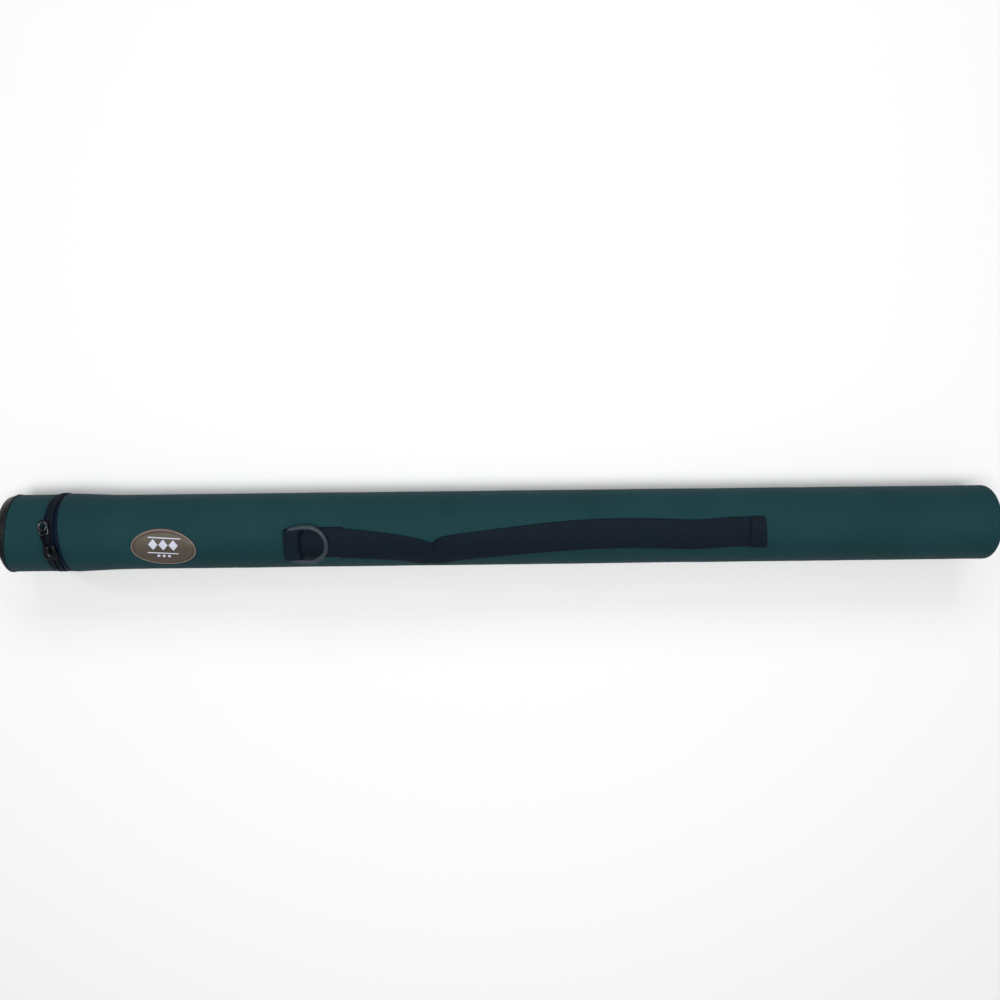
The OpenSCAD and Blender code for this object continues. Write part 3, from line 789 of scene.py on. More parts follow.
def tape(name, side, body, node):
    """side is +1 on the case and -1 on the lid. Profile from the teeth out to under the cover, and back below."""
    ph = TAPE_PHI[None, :]
    gap = lens(TAPE_PHI)[None, :]
    inner = XH + side * (0.55 + gap)               # edge under the teeth
    outer = (mouth_edge(TAPE_PHI) if side > 0 else lid_edge(TAPE_PHI))[None, :]
    under = outer + side * 2.6
    w = outer - inner
    top = []
    for f, r in ((0.0, 31.78), (0.12, 31.92), (0.42, 31.95), (0.50, 32.02), (0.58, 32.30), (0.68, 32.42), (0.78, 32.30), (0.86, 32.05), (0.93, 31.85), (1.0, 31.60)):
        top.append((inner + w * f, r + 0 * ph))
    drop = 31.28 if side > 0 else 30.98
    low = 30.95 if side > 0 else 30.45
    top.append((outer + side * 0.8, drop + 0.1 + 0 * ph))
    top.append((under, drop - 0.05 + 0 * ph))
    bot = [(under, low - 0.1 + 0 * ph), (outer, low + 0.1 + 0 * ph), (inner + w * 0.6, 31.35 + 0 * ph), (inner + w * 0.1, 31.35 + 0 * ph), (inner - side * 0.05, 31.45 + 0 * ph)]
    prof = top + bot
    X = np.concatenate([p[0] + 0 * ph for p in prof])
    R = np.concatenate([p[1] for p in prof])
    rad = np.radians(TAPE_PHI)[None, :]
    R[:10] += 0.05 * np.sin(29 * rad + side) * np.array([0, .2, .3, .4, .8, 1, 1, .8, .4, .1])[:, None]
    ob = revolve(name, X, R, TAPE_PHI, full=False, cap=True)
    return dress(ob, m_tape, body, [node])


tape("zip_tape_case_side", 1, "case", "zip_tape_body")
tape("zip_tape_lid_side", -1, "lid", "zip_tape_lid")


def coil(name, side, body, node):
    pitch = 1.42
    r0 = 32.42
    a0, a1 = 22.6, 337.4
    length = math.radians(a1 - a0) * r0
    turns = int(length / pitch)
    per = 12
    t = np.arange(turns * per + 1) / per
    phi = a0 + (a1 - a0) * (t + (0.5 if side < 0 else 0.0) * 1.0) / (turns + 0.5)
    ang = 2 * PI * t
    a, b = 1.25, 0.60
    fl = np.cos(ang)
    xs = XH + side * (1.25 - CLOSED_W + lens(phi)) - side * a * np.sign(fl) * np.abs(fl) ** 0.8
    rs = r0 + b * np.sin(ang)
    # the nose of each tooth is a little fatter
    rad = 0.25 + 0.07 * ease((fl - 0.6) / 0.4)
    path = pos(xs, phi, rs)
    ob = finish_mesh(name, *tube_along(path, rad, 6, up=(0.9, 0.3, 0.3)), smooth=80)
    # the cord inside the coil
    return dress(ob, m_coil, body, [node])


coil("zip_teeth_case_side", 1, "case", "zip_coil_body")
coil("zip_teeth_lid_side", -1, "lid", "zip_coil_lid")


def coil_cord(name, side, body):
    phis = np.arange(21.8, 338.3, 1.2)
    up = pos(0, phis, 1.0) - pos(0, phis, 0.0)
    path = pos(XH + side * (1.55 + lens(phis)), phis, 32.36)
    ob = finish_mesh(name, *tube_along(path, 0.34, 8, up=up), smooth=80)
    return dress(ob, m_thread, body)


coil_cord("zip_cord_case_side", 1, "case")
coil_cord("zip_cord_lid_side", -1, "lid")


def sewn_coil(name, side, body):
    """The two rows of fine stitches that hold each row of teeth on its tape."""
    parts = []
    for off in (1.35, 2.15):
        phis = np.arange(23, 337.1, 1.0)
        pts = pos(XH + side * (off + lens(phis)), phis, 33.06 if off < 1.5 else 32.96)
        nors = pos(0, phis, 1.0) - pos(0, phis, 0.0)
        parts += thread(name, pts, nors, 1.15, 0.27, 0.30, 0.2, 0.03)
    ob = finish_mesh(name, *joined(parts), smooth=60)
    return dress(ob, m_thread, body)


sewn_coil("zip_stitching_case_side", 1, "case")
sewn_coil("zip_stitching_lid_side", -1, "lid")


def stops():
    parts = []
    for phi in (20.6, 339.4):
        bm = outline_plate("stop", rounded(2.5, 1.7, 0.45), half=0.75, bevel=0.25)
        parts.append(bm_arrays(bm, through(at_phi(XH + 1.75, phi, 32.3))))
    return finish_mesh("zip_stop_blocks", *joined(parts))


dress(stops(), m_slider, "case", ["zip_stops"])

# ------------------------------------------------------------------ the fabric hinge
def hinge():
    phis = np.linspace(-18.0, 18.0, 41)
    s = np.array([0, .3, 1, 2, 3.2, 4.2, 5, 5.6, 6.1, 6.6, 7.2, 8, 9, 10, 10.8, 11.5, 12.5, 13.6, 14.7, 15.6, 16.2, 17.2, 18.2, 18.5])
    lo = (lid_edge(phis) - 2.6)[None, :]
    hi = (mouth_edge(phis) + 2.6)[None, :]
    X = lo + (hi - lo) * (s / s[-1])[:, None]
    el, em = lid_edge(phis)[None, :], mouth_edge(phis)[None, :]
    cover_l, cover_m = ease((el + 0.9 - X) / 1.8), ease((X - em + 0.9) / 1.8)
    R = 32.10 - 1.10 * cover_l - 0.80 * cover_m
    R = R + 0.28 * np.exp(-((X - el - 1.9) / 0.7) ** 2) + 0.28 * np.exp(-((X - em + 1.9) / 0.7) ** 2)
    R = R + 0.30 * np.exp(-((X - XH) / 1.3) ** 2)
    edge = ease((18.0 - np.abs(phis)) / 1.2)[None, :]
    R = R - 0.25 * (1 - edge)
    Xi, Ri = X[::-1], np.minimum(R[::-1] - 0.75, 31.35 - 0.0 * X[::-1])
    Xi = Xi.copy()
    return revolve("hinge_cloth_strip", np.concatenate([X, Xi]), np.concatenate([R, Ri]), phis, full=False, cap=True)


hinge_ob = hinge()
hinge_ob.data.materials.append(m_hinge)
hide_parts("hinge_flap_body", "hinge_flap_lid")
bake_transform(hinge_ob)

# ------------------------------------------------------------------ slider and pull
PIN_R, PIN_PHI, LEAN, PULL_L = 36.6, SLIDER_PHI + 8.5, 21.5, 23.0


def on_tube(phi0):
    """Flat x, t, h to the tube: x along it, t mm of arc at radius 34, h the radius."""
    return lambda x, t, h: pos(XH + x, phi0 + np.degrees(t / 34.0), h)


def slider():
    parts = []
    # top plate: wide at the divided front (towards smaller phi), narrow at the tail
    shield = [(-3.6, 6.3), (-4.15, 5.6), (-4.5, 3.8), (-5.2, 1.2), (-5.5, -1.6), (-5.45, -4.2), (-5.0, -5.6), (-3.9, -6.2), (-2.2, -6.3), (-0.9, -5.7), (0, -5.45)]
    shield = shield + [(-x, y) for x, y in shield[-2::-1]]
    bm = outline_plate("slider_top", shield, half=0.62, bevel=0.32, res=3)
    cut_rows(bm, -6.3, 6.3, 0.9)
    parts.append(bm_arrays(bm, lambda x, t, h: pos(XH + x, SLIDER_PHI + np.degrees(t / 34.0), 34.08 + h + 0.28 * (1 - (x / 5.5) ** 2) * (1 - (t / 6.4) ** 2))))
    # bottom plate and rims, on the case's side of the fold so that the lid can swing
    bm = outline_plate("slider_base", rounded(5.3, 11.6, 1.4, 2.45), half=0.38, bevel=0.18)
    cut_rows(bm, -6, 6, 0.9)
    parts.append(bm_arrays(bm, lambda x, t, h: pos(XH + x, SLIDER_PHI + np.degrees(t / 34.0), 30.72 + h)))
    for s in (1, -1):
        edge = [(s * 4.15, 5.6), (s * 4.5, 3.8), (s * 5.15, 1.2), (s * 5.3, -1.6), (s * 5.2, -4.4), (s * 4.4, -4.4), (s * 4.5, -1.6), (s * 4.3, 1.2), (s * 3.7, 3.8), (s * 3.4, 5.6)]
        bm = outline_plate("slider_rim", edge, half=0.75 if s > 0 else 0.45, bevel=0.15)
        cut_rows(bm, -6, 6, 0.9)
        mid = 33.0 if s > 0 else 33.3
        parts.append(bm_arrays(bm, lambda x, t, h, mid=mid: pos(XH + x, SLIDER_PHI + np.degrees(t / 34.0), mid + h)))
    # divider post
    bm = outline_plate("slider_post", rounded(0.9, 4.2, 0.4, 0.0, -1.2), half=1.7, bevel=0.15)
    parts.append(bm_arrays(bm, lambda x, t, h: pos(XH + x, SLIDER_PHI + np.degrees(t / 34.0), 32.2 + h)))
    # bridge over the plate, with the pin's hole
    pin_t = 0.0
    arch = [(-8.6, -2.9), (-8.3, -2.0), (-7.4, -0.6), (-5.6, 0.7), (-3.4, 1.45), (-1.2, 1.75), (0.4, 1.75), (1.4, 1.2), (1.85, 0.2), (1.75, -1.2), (1.6, -2.9)]
    hole = [(0.82 * math.cos(a), 0.82 * math.sin(a)) for a in np.linspace(0, 2 * PI, 25)[:-1]]
    hole2 = [(-6.2, -1.5), (-5.2, -0.75), (-3.6, -0.1), (-2.2, 0.15), (-1.75, -0.5), (-1.9, -1.6), (-2.4, -1.9), (-5.6, -1.9)]
    bm = outline_plate("slider_bridge", arch, [hole, hole2], half=1.1, bevel=0.22, res=2)
    M = at_phi(XH, PIN_PHI, PIN_R)
    A = np.array(M)
    # the outline's x is along Y of the frame (towards larger phi), its y along Z, its thickness along X
    parts.append(bm_arrays(bm, lambda x, y, z: np.stack([z, x, y - 0.012 * np.minimum(x + 1, 0) ** 2], -1) @ A[:3, :3].T + A[:3, 3]))
    return finish_mesh("zip_slider_body", *joined(parts), smooth=35)


dress(slider(), m_slider, "slider", ["zip_slider"])


PULL_TRIM = []


def pull():
    M = at_phi(XH, PIN_PHI, PIN_R) @ Matrix.Rotation(math.radians(-LEAN), 4, "X")
    parts = []
    outer = [(-2.6, -0.35), (-2.75, 1.4), (-2.75, 3.2), (-3.1, 6), (-3.75, 10.5), (-4.35, 15.0), (-4.6, 18.4)]
    for a in np.linspace(180, 0, 25)[1:-1]:
        outer.append((4.6 * math.cos(math.radians(a)), 18.4 + 4.6 * math.sin(math.radians(a))))
    outer = outer + [(-x, y) for x, y in outer[:7]][::-1]
    outer = [(x, y) for x, y in outer]
    slot = rounded(2.7, 2.6, 0.5, 0, 2.15)
    eye = [(1.9 * math.cos(a), 17.6 + 2.15 * math.sin(a)) for a in np.linspace(0, 2 * PI, 33)[:-1]]
    bm = outline_plate("pull_plate", outer, [slot, eye], half=0.6, bevel=0.27, res=3)
    T = M @ Matrix.Rotation(math.radians(14.0), 4, "Z")      # the tab hangs a little askew on its pin
    parts.append(bm_arrays(bm, through(T)))
    # raised grip border and a ring round the eye
    def loop(pts, r, h):
        path = np.array([(x, y, h) for x, y in pts])
        A = np.array(T)
        path = path @ A[:3, :3].T + A[:3, 3]
        up = A[:3, 2]
        return tube_along(path, r, 8, closed=True, up=up, squeeze=0.8)
    inner = []
    for x, y in outer:
        cx, cy = 0.0, 14.5
        if y > 7.5:
            inner.append((x * 0.80, cy + (y - cy) * 0.84))
    PULL_TRIM.append(loop(inner, 0.26, 0.56))
    ring = [(2.75 * math.cos(a), 17.6 + 3.0 * math.sin(a)) for a in np.linspace(0, 2 * PI, 33)[:-1]]
    PULL_TRIM.append(loop(ring, 0.24, 0.55))
    # pin
    path = np.array([(x, 0, 0) for x in np.linspace(-2.55, 2.55, 9)])
    A = np.array(M)
    path = path @ A[:3, :3].T + A[:3, 3]
    parts.append(tube_along(path, 0.75, 16, up=A[:3, 2]))
    return finish_mesh("zip_pull_tab", *joined(parts), smooth=40)


dress(pull(), m_pull, "pull", ["zip_pull"])
# the border and the eye's ring wear the brighter metal, a painted highlight for the glint on the tab's edge
dress(finish_mesh("zip_pull_border", *joined(PULL_TRIM), smooth=50), m_pull_painted_glint, "pull")

# ------------------------------------------------------------------ badge
def on_badge(x, y, r):
    """Flat badge coordinates to the tube: the outline is straight across, as cut from a sheet and bent."""
    c, s = math.cos(math.radians(BADGE_TILT)), math.sin(math.radians(BADGE_TILT))
    xx, yy = c * x - s * y, s * x + c * y
    z = np.sqrt(np.maximum(r * r - yy * yy, 0))
    A = np.array(at_phi(BADGE_X, BADGE_PHI))
    return np.stack([xx, yy, z], -1) @ A[:3, :3].T + A[:3, 3]


def badge():
    a, b = 26.0, 15.75
    al = np.linspace(0, 2 * PI, 145)[:-1]
    prof = [(0.0, 31.12), (0.0, 31.9), (0.12, 32.22), (0.35, 32.42), (0.7, 32.50), (1.05, 32.44), (1.3, 32.25), (1.42, 31.90), (1.55, 31.50), (1.85, 31.46), (2.05, 31.70), (2.2, 32.0), (2.5, 32.10)]
    rows = []
    for ins, r in prof:
        rows.append(np.stack([(a - ins) * np.cos(al), (b - ins) * np.sin(al), 0 * al + r], -1))
    for f in (0.93, 0.82, 0.68, 0.52, 0.36, 0.2, 0.08):
        rows.append(np.stack([(a - 2.5) * f * np.cos(al), (b - 2.5) * f * np.sin(al), 0 * al + 32.10 + 0.10 * (1 - f * f)], -1))
    back = []
    for f in (0.08, 0.3, 0.55, 0.8, 0.97):
        back.append(np.stack([a * f * np.cos(al), b * f * np.sin(al), 0 * al + 31.02], -1))
    G = np.array(back + rows)
    P = on_badge(G[..., 0], G[..., 1], G[..., 2])
    uv = np.zeros((G.shape[0] + 1, G.shape[1] + 1, 2))
    uv[:-1, :-1] = G[..., :2]
    uv[:-1, -1] = G[:, 0, :2]
    uv[-1] = uv[-2]
    V, F, U = grid_arrays(P, closed_j=True, uv=uv, pole0=on_badge(np.zeros(1), np.zeros(1), np.full(1, 31.02))[0], pole1=on_badge(np.zeros(1), np.zeros(1), np.full(1, 32.2))[0])
    ob = finish_mesh("badge_shield", V, F, U, smooth=50)
    ob.data.materials.append(m_badge)
    ob.data.materials.append(m_rim)
    nj = len(al)
    for k, p in enumerate(ob.data.polygons):
        row = k // nj
        if len(back) + 1 <= row <= len(back) + 5 and k < nj * (len(G) - 1):
            p.material_index = 1
    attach(ob, "case")
    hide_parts("badge_plate")
    return ob


badge()


def emblem():
    """A plain pattern: three diamonds, a rule, and three dots below."""
    parts = []

    def flat(pts, bev=0.06):
        bm = outline_plate("print", pts, half=0.09, bevel=bev, res=1)
        xs = [p[0] for p in pts]
        ys = [p[1] for p in pts]
        cut_rows(bm, min(ys), max(ys), 1.0)
        cut_rows(bm, min(xs), max(xs), 2.0, 0)
        parts.append(bm_arrays(bm, lambda x, y, z: on_badge(x, y, 32.24 + z)))

    for i in (-1, 0, 1):
        cx, cy = i * 8.1, 3.4
        flat([(cx - 3.7, cy), (cx, cy - 4.6), (cx + 3.7, cy), (cx, cy + 4.6)])
    flat(rounded(26.0, 0.8, 0.3, 1.0, 9.2))
    flat(rounded(24.5, 0.95, 0.3, -0.5, -3.9))
    for i in (-1, 0, 1):
        cx, cy = i * 4.2, -6.7
        flat([(cx + 1.25 * math.cos(t), cy + 1.25 * math.sin(t)) for t in np.linspace(0, 2 * PI, 17)[:-1]])
    return finish_mesh("badge_print", *joined(parts), smooth=50)


dress(emblem(), m_print, "case", ["badge_emblem"])

# ------------------------------------------------------------------ D-ring and its loop
RING_M = at_phi(BAR_X, RING_PHI, BAR_R)


def d_ring():
    bow, leg, bend, hip = 14.7, 16.0, 5.4, 13.1
    joint = -29.0
    pts = []
    for b in np.linspace(joint - 0.55, -90, 32):
        pts.append((leg + bow * math.cos(math.radians(b)), bow * math.sin(math.radians(b))))
    # the legs spread from the bar out to the bow
    a0 = 20.0
    side = []
    for t in np.linspace(0, 90 - a0, 11):
        side.append((bend - bend * math.cos(math.radians(t)), hip - bend + bend * math.sin(math.radians(t))))
    x1, y1 = side[-1]
    k = math.tan(math.radians(a0))
    n = leg - x1
    for q in np.linspace(0, 1, 12)[1:]:
        h00, h10, h01 = 2 * q ** 3 - 3 * q ** 2 + 1, q ** 3 - 2 * q ** 2 + q, -2 * q ** 3 + 3 * q ** 2
        side.append((x1 + n * q, h00 * y1 + h10 * n * k + h01 * bow))
    pts += [(x, -y) for x, y in side[::-1]][1:]
    for y in np.linspace(-hip + bend, hip - bend, 12)[1:-1]:
        pts.append((0, y))
    pts += side[:-1]
    pts.append((leg, bow))
    for b in np.linspace(90, joint + 0.55, 60)[1:]:
        f = ease((b - joint) / 14.0)
        rr = bow + 0.32 * (1 - f)
        pts.append((leg + rr * math.cos(math.radians(b)), rr * math.sin(math.radians(b))))
    path = np.array([(x, y, 0.12 * math.sin(y / 6.0)) for x, y in pts])
    rad = np.full(len(path), 1.88)
    for k, r in ((0, 1.55), (1, 1.8), (-1, 1.55), (-2, 1.8)):
        rad[k] = r
    A = np.array(RING_M @ Matrix.Rotation(math.radians(-2.4), 4, "Y"))
    path = path @ A[:3, :3].T + A[:3, 3]
    return finish_mesh("d_ring_wire", *tube_along(path, rad, 24, up=A[:3, 2]), smooth=50)


dress(d_ring(), m_ring, "ring", ["d_ring"])


def ribbon(name, line, width, thick, fold=None, ribs=16, across=33, end_caps=True):
    """Webbing along line: a list of (centre points across, up vectors across) built by the caller as arrays.
    line has shape (n, across, 3) for the mid surface and fold the same for the normals."""
    n = line.shape[0]
    u = np.linspace(-1, 1, across)
    edge = np.sqrt(np.clip(1 - ((np.abs(u) - 0.93) / 0.07).clip(0, 1) ** 2, 0, 1))
    rib = 0.055 * np.abs(np.sin(u * PI * ribs / 2))
    half = (thick / 2 - 0.06) * (0.28 + 0.72 * edge) + rib * edge
    top = line + fold * half[None, :, None]
    bot = line - fold * half[None, :, None]
    P = np.concatenate([top, bot[:, ::-1]], 1)      # (n, 2*across, 3) loop round the section
    L = np.concatenate([[0], np.cumsum(np.linalg.norm(np.diff(line[:, across // 2], axis=0), axis=1))])
    w = (u + 1) / 2 * width
    cross = np.concatenate([w, (width + 1.0) + w, [2 * width + 2.0]])
    uv = np.stack(np.meshgrid(np.concatenate([L, [L[-1] + 1]]), cross, indexing="ij")[::-1], -1)
    V, F, U = grid_arrays(P, closed_j=True, uv=uv)
    m = 2 * across
    for row in (0, n - 1):
        F.append([row * m + j for j in range(m)])
        U += [uv[row, j].tolist() for j in range(m)]
    return V, F, U


def loop_webbing():
    """One length of webbing: up from under the tab's end, along the tube, round the bar, and back on top."""
    w = 25.4
    th_ = 1.6
    mid = BAR_R - (1.9 + 0.15 + th_ / 2)           # 31.9
    pts = []                                        # x, r, share of the tube's curve, normal angle
    for x in np.linspace(-128.5, BAR_X + 3.0, 34):
        pts.append((x, 31.95, ease((x - BAR_X - 1.5) / 9.0)))
    for t in np.linspace(0, 180, 25):
        a = math.radians(t)
        pts.append((BAR_X - 2.87 * math.sin(a), BAR_R - 2.87 * math.cos(a), 0.0))
    for s in np.linspace(0, 1, 14)[1:]:
        x = BAR_X + 9.8 * s
        pts.append((x, 37.6 - (37.6 - 33.62) * ease(s), ease((x - BAR_X - 3.5) / 8.0)))
    for x in np.linspace(BAR_X + 9.8, -128.5, 60)[1:]:
        pts.append((x, 33.62, 1.0))
    pts = np.array(pts)
    across = 33
    u = np.linspace(-1, 1, across)
    y = u * w / 2
    x = pts[:, 0][:, None] + 0 * y[None]
    y = np.clip(y[None] + 0 * x, -w / 2, w / 2)
    # over the bar's ends the edges of the top layer stay up, clear of the ring's bends
    top = (np.arange(len(pts)) >= 59)[:, None]
    lift = 4.6 * ease((np.abs(y) - 6.5) / 4.0)
    r = np.where(top, 37.62 - 0.5 * ease((x - BAR_X) / 8.0) - 3.5 * ease((x - BAR_X - 7.4 - 0.4 * lift) / 3.0), pts[:, 1][:, None])
    flat = np.where(top, ease((x - BAR_X - 6.8 - 0.4 * lift) / 3.6), pts[:, 2][:, None])
    curved = np.sqrt(r * r - y * y)
    z = curved * flat + r * (1 - flat)
    x = x + 0.25 * np.sin(y / 5.0) * (pts[:, 1][:, None] > 33)
    A = np.array(at_phi(0, RING_PHI))
    line = np.stack([x, y, z], -1)
    tan = np.gradient(line, axis=0)
    crs = np.gradient(line, axis=1)
    nor = np.cross(tan, crs)
    nor /= np.linalg.norm(nor, axis=2)[..., None]
    # the webbing runs towards -X below, so its normal there points down; keep one side all along
    line = line @ A[:3, :3].T + A[:3, 3]
    nor = nor @ A[:3, :3].T
    V, F, U = ribbon("loop", line, w, th_, nor)
    return finish_mesh("ring_loop_webbing", V, F, U, smooth=50)


loop_ob = dress(loop_webbing(), m_web, "case", ["ring_loop"])

# ------------------------------------------------------------------ carry strap
ROUTE = [(-131.2, 75.5, 34.6), (-118, 73.6, 33.6), (-98, 69.2, 32.4), (-78, 64.8, 32.0), (-58, 61.6, 33.6), (-47, 63.4, 33.4),
         (-34, 65.4, 32.2), (-2, 71.8, 31.5), (37, 79.2, 31.3), (66, 83, 31.2), (95, 84.3, 31.2), (128, 83.2, 31.2), (160, 81.3, 31.2),
         (185, 84.4, 31.2), (205, 84.6, 31.1), (214.5, 83.6, 31.1)]


def hermite(a, b, c, d, t):
    m0, m1 = (c - a) / 2, (d - b) / 2
    return (2 * t ** 3 - 3 * t ** 2 + 1) * b + (t ** 3 - 2 * t ** 2 + t) * m0 + (-2 * t ** 3 + 3 * t ** 2) * c + (t ** 3 - t ** 2) * m1


def route_points(per=14):
    R = np.array(ROUTE)
    out = []
    n = len(R) - 1
    for i in range(n):
        a, b, c, d = R[max(0, i - 1)], R[i], R[i + 1], R[min(n, i + 2)]
        for k in range(per):
            out.append(hermite(a, b, c, d, k / per))
    out.append(R[-1])
    return np.array(out)


def strap():
    L = route_points(22)
    w, thick, across = 25.4, 1.6, 41
    u = np.linspace(-1, 1, across)
    x = L[:, 0][:, None] + 0 * u[None]
    half = 90 * w / (PI * (L[:, 2] + thick / 2))
    # folded and sewn end at the far side: a second layer, a little wider
    fold_end = ease((L[:, 0] - 200.8) / 1.2)
    half = half * (1 + 0.035 * fold_end)
    phi = L[:, 1][:, None] + half[:, None] * u[None]
    r = L[:, 2][:, None] + thick / 2 + 0 * u[None]
    # crease where the slack strap buckles: it runs slantwise across the webbing
    xc = -57.6 + 1.2 * u[None]
    cr = np.exp(-((x - xc) / np.where(x < xc, 4.0, 2.2)) ** 2)
    r = r - 1.25 * cr * (0.75 + 0.25 * u[None]) + 0.55 * np.exp(-((x - xc + 11) / 8.0) ** 2) + 0.5 * np.exp(-((x - xc - 11) / 8.0) ** 2)
    r = r + 0.7 * np.exp(-((x - xc + 5.0) / 3.6) ** 2) * ease((0.3 - u[None]) / 1.1)
    side = np.abs(x - xc)
    notch = np.where(x < xc, np.exp(-side / 14.0), np.exp(-side / 3.2)) * ease((u[None] + 0.1) / 1.1)
    phi = phi - 8.3 * notch
    r = r + 0.75 * fold_end[:, None]
    r = r - 0.6 * np.exp(-((x - 201.2) / 0.9) ** 2)
    r = r + 0.10 * np.sin(x / 17.0 + 1.3 * u[None]) * ease((190 - x) / 30) * ease((x + 120) / 20)
    # the end's edge slants
    tip = ease((x - 205) / 9.5)
    x = x + tip * (-1.2 * u[None] - 0.6)
    line = pos(x, phi, r)
    tan = np.gradient(line, axis=0)
    crs = np.gradient(line, axis=1)
    nor = np.cross(tan, crs)
    nor /= np.linalg.norm(nor, axis=2)[..., None]
    out = pos(0 * x, phi, 1.0) - pos(0 * x, phi, 0.0)
    if (nor * out).sum() < 0:
        nor = -nor
    V, F, U = ribbon("strap", line, w, thick, nor, across=across)
    return finish_mesh("carry_strap_webbing", V, F, U, smooth=50), L


strap_ob, STRAP_LINE = strap()
dress(strap_ob, m_web, "case", ["carry_strap"])


def strap_rows():
    parts = []
    for xr in (202.6, 211.6):
        u = np.linspace(-0.9, 0.9, 60)
        phi = np.interp(xr, STRAP_LINE[:, 0], STRAP_LINE[:, 1]) + 23.4 * u
        pts = pos(xr - (0.9 if xr > 210 else 0.15) * u, phi, 33.58)
        nors = pos(0, phi, 1.0) - pos(0, phi, 0.0)
        parts += thread("bar", pts, nors, 1.9, 0.5, 0.75, 0.34, 0.06)
    for s in (-1, 1):
        x = np.linspace(203, 211, 12)
        phi = np.interp(x, STRAP_LINE[:, 0], STRAP_LINE[:, 1]) + 20.8 * s
        pts = pos(x, phi, 33.56)
        nors = pos(0, phi, 1.0) - pos(0, phi, 0.0)
        parts += thread("side", pts, nors, 1.9, 0.5, 0.7, 0.34, 0.06)
    return finish_mesh("strap_end_stitches", *joined(parts), smooth=60)


dress(strap_rows(), m_thread, "case", ["strap_stitching"])


def loop_rows():
    """Bars of stitches that hold the strap's other end and the ring's loop on the tube."""
    parts = []
    for xr in (-129.4, -126.8):
        ra = np.interp(xr, STRAP_LINE[:, 0], STRAP_LINE[:, 2]) + 1.72
        u = np.linspace(-0.88, 0.88, 60)
        phi = np.interp(xr, STRAP_LINE[:, 0], STRAP_LINE[:, 1]) + 20.6 * u
        pts = pos(xr + 0 * u, phi, ra)
        nors = pos(0, phi, 1.0) - pos(0, phi, 0.0)
        parts += thread("bar", pts, nors, 1.9, 0.5, 0.75, 0.34, 0.06)
    return finish_mesh("loop_end_stitches", *joined(parts), smooth=60)


dress(loop_rows(), m_thread, "case")

# ------------------------------------------------------------------ pieces inside, carried over from the frame
for name, mat, slot in (("mouth_padding", m_pad, "foam"), ("tube_shell", m_shell, "shell_plastic"), ("end_plug", m_shell, "shell_plastic"),
                        ("butt_tube", m_liner, "liner_plastic"), ("shaft_tube_left", m_liner, "liner_plastic"), ("shaft_tube_right", m_liner, "liner_plastic"),
                        ("mouth_collar", m_collar, "foam"), ("end_collar", m_collar, "foam"), ("bottom_pad", m_pad, "foam"),
                        ("lid_shell", m_shell, "shell_plastic"), ("lid_pad", m_pad, "foam")):
    o = NODE[name]
    o.data.materials.clear()
    o.data.materials.append(mat)

# ------------------------------------------------------------------ floor, light, camera
me = bpy.data.meshes.new("floor")
me.from_pydata([(-4, -4, 0), (4, -4, 0), (4, 4, 0), (-4, 4, 0)], [], [(0, 1, 2, 3)])
floor = bpy.data.objects.new("floor", me)
bpy.context.scene.collection.objects.link(floor)
floor.location.z = -0.0002
F = Mat("floor_paper", (0.86, 0.86, 0.86), rough=0.9, spec=0.1)
floor.data.materials.append(F.m)


POWER = dict(key=1.0, over=26.8, back=9.5, front=0.0, fill=0.8, left=2.5, world=0.2)


def area(name, loc, target, size, power, color=(1, 1, 1), size_y=None):
    li = bpy.data.lights.new(name, "AREA")
    li.shape = "RECTANGLE"
    li.size = size
    li.size_y = size_y or size
    li.energy = power
    li.color = color
    ob = bpy.data.objects.new(name, li)
    ob.location = loc
    ob.rotation_mode = "QUATERNION"
    ob.rotation_quaternion = (Vector(loc) - Vector(target)).to_track_quat("Z", "Y")
    bpy.context.scene.collection.objects.link(ob)
    return ob


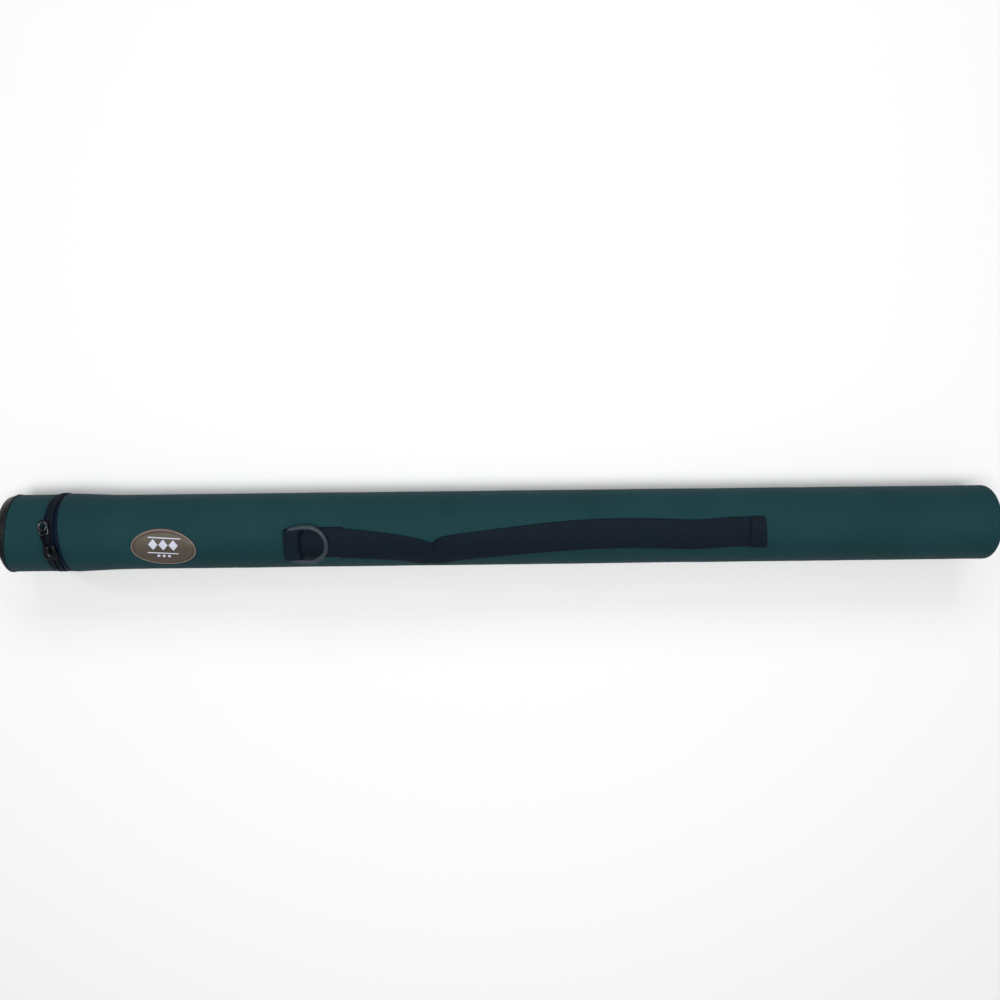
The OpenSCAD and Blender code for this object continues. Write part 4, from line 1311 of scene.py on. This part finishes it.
area("key", (-0.12, 0.34, 1.7), (0, 0, 0.03), 1.3, POWER["key"], (1.0, 0.995, 0.985), 0.6)
area("over", (0.05, -0.12, 1.8), (0, 0, 0.03), 1.4, POWER["over"], (1.0, 1.0, 1.0), 0.5)
area("back", (0.1, 1.4, 1.2), (0, 0, 0.03), 1.4, POWER["back"], (1.0, 1.0, 1.0), 0.6)
area("front", (-0.1, -1.0, 1.4), (0, 0, 0.03), 1.4, POWER["front"], (1.0, 1.0, 1.0), 0.6)
area("fill", (0.9, -0.9, 1.2), (0, 0, 0.03), 1.2, POWER["fill"], (0.96, 0.98, 1.0))
area("left", (-1.5, 0.35, 0.7), (-0.35, 0, 0.03), 0.12, POWER["left"], (0.95, 0.98, 1.0))

world = bpy.data.worlds.new("studio")
bpy.context.scene.world = world
world.use_nodes = True
bg = world.node_tree.nodes["Background"]
bg.inputs[0].default_value = (1, 1, 1, 1)
bg.inputs[1].default_value = POWER["world"]

cam_data = bpy.data.cameras.new("camera")
cam = bpy.data.objects.new("camera", cam_data)
bpy.context.scene.collection.objects.link(cam)
bpy.context.scene.camera = cam
cam_data.sensor_width = 36.0
cam_data.lens = 36.0 * 944.8 / 1000.0
cam_data.clip_start, cam_data.clip_end = 0.02, 50


def aim():
    d = Vector((0, -math.cos(math.radians(96)), math.sin(math.radians(96))))
    right, u = Vector((1, 0, 0)), Vector((0, d.z, -d.y))
    loc = Vector((-10.1, 0, ZC)) + d * 793.1
    yaw, tilt, roll = math.radians(0.645), math.radians(1.665), math.radians(-0.678)
    fwd = -d * math.cos(yaw) + right * math.sin(yaw)
    right = right * math.cos(yaw) + d * math.sin(yaw)
    fwd2 = fwd * math.cos(tilt) + u * math.sin(tilt)
    up2 = -fwd * math.sin(tilt) + u * math.cos(tilt)
    r2 = right * math.cos(roll) + up2 * math.sin(roll)
    u2 = -right * math.sin(roll) + up2 * math.cos(roll)
    M = Matrix((r2, u2, -fwd2)).transposed().to_4x4()
    M.translation = loc * MM
    cam.matrix_world = M


aim()
sc = bpy.context.scene
sc.view_settings.view_transform = "Standard"
sc.view_settings.look = "None"
sc.view_settings.exposure = 0.0
sc.view_settings.gamma = 1.0
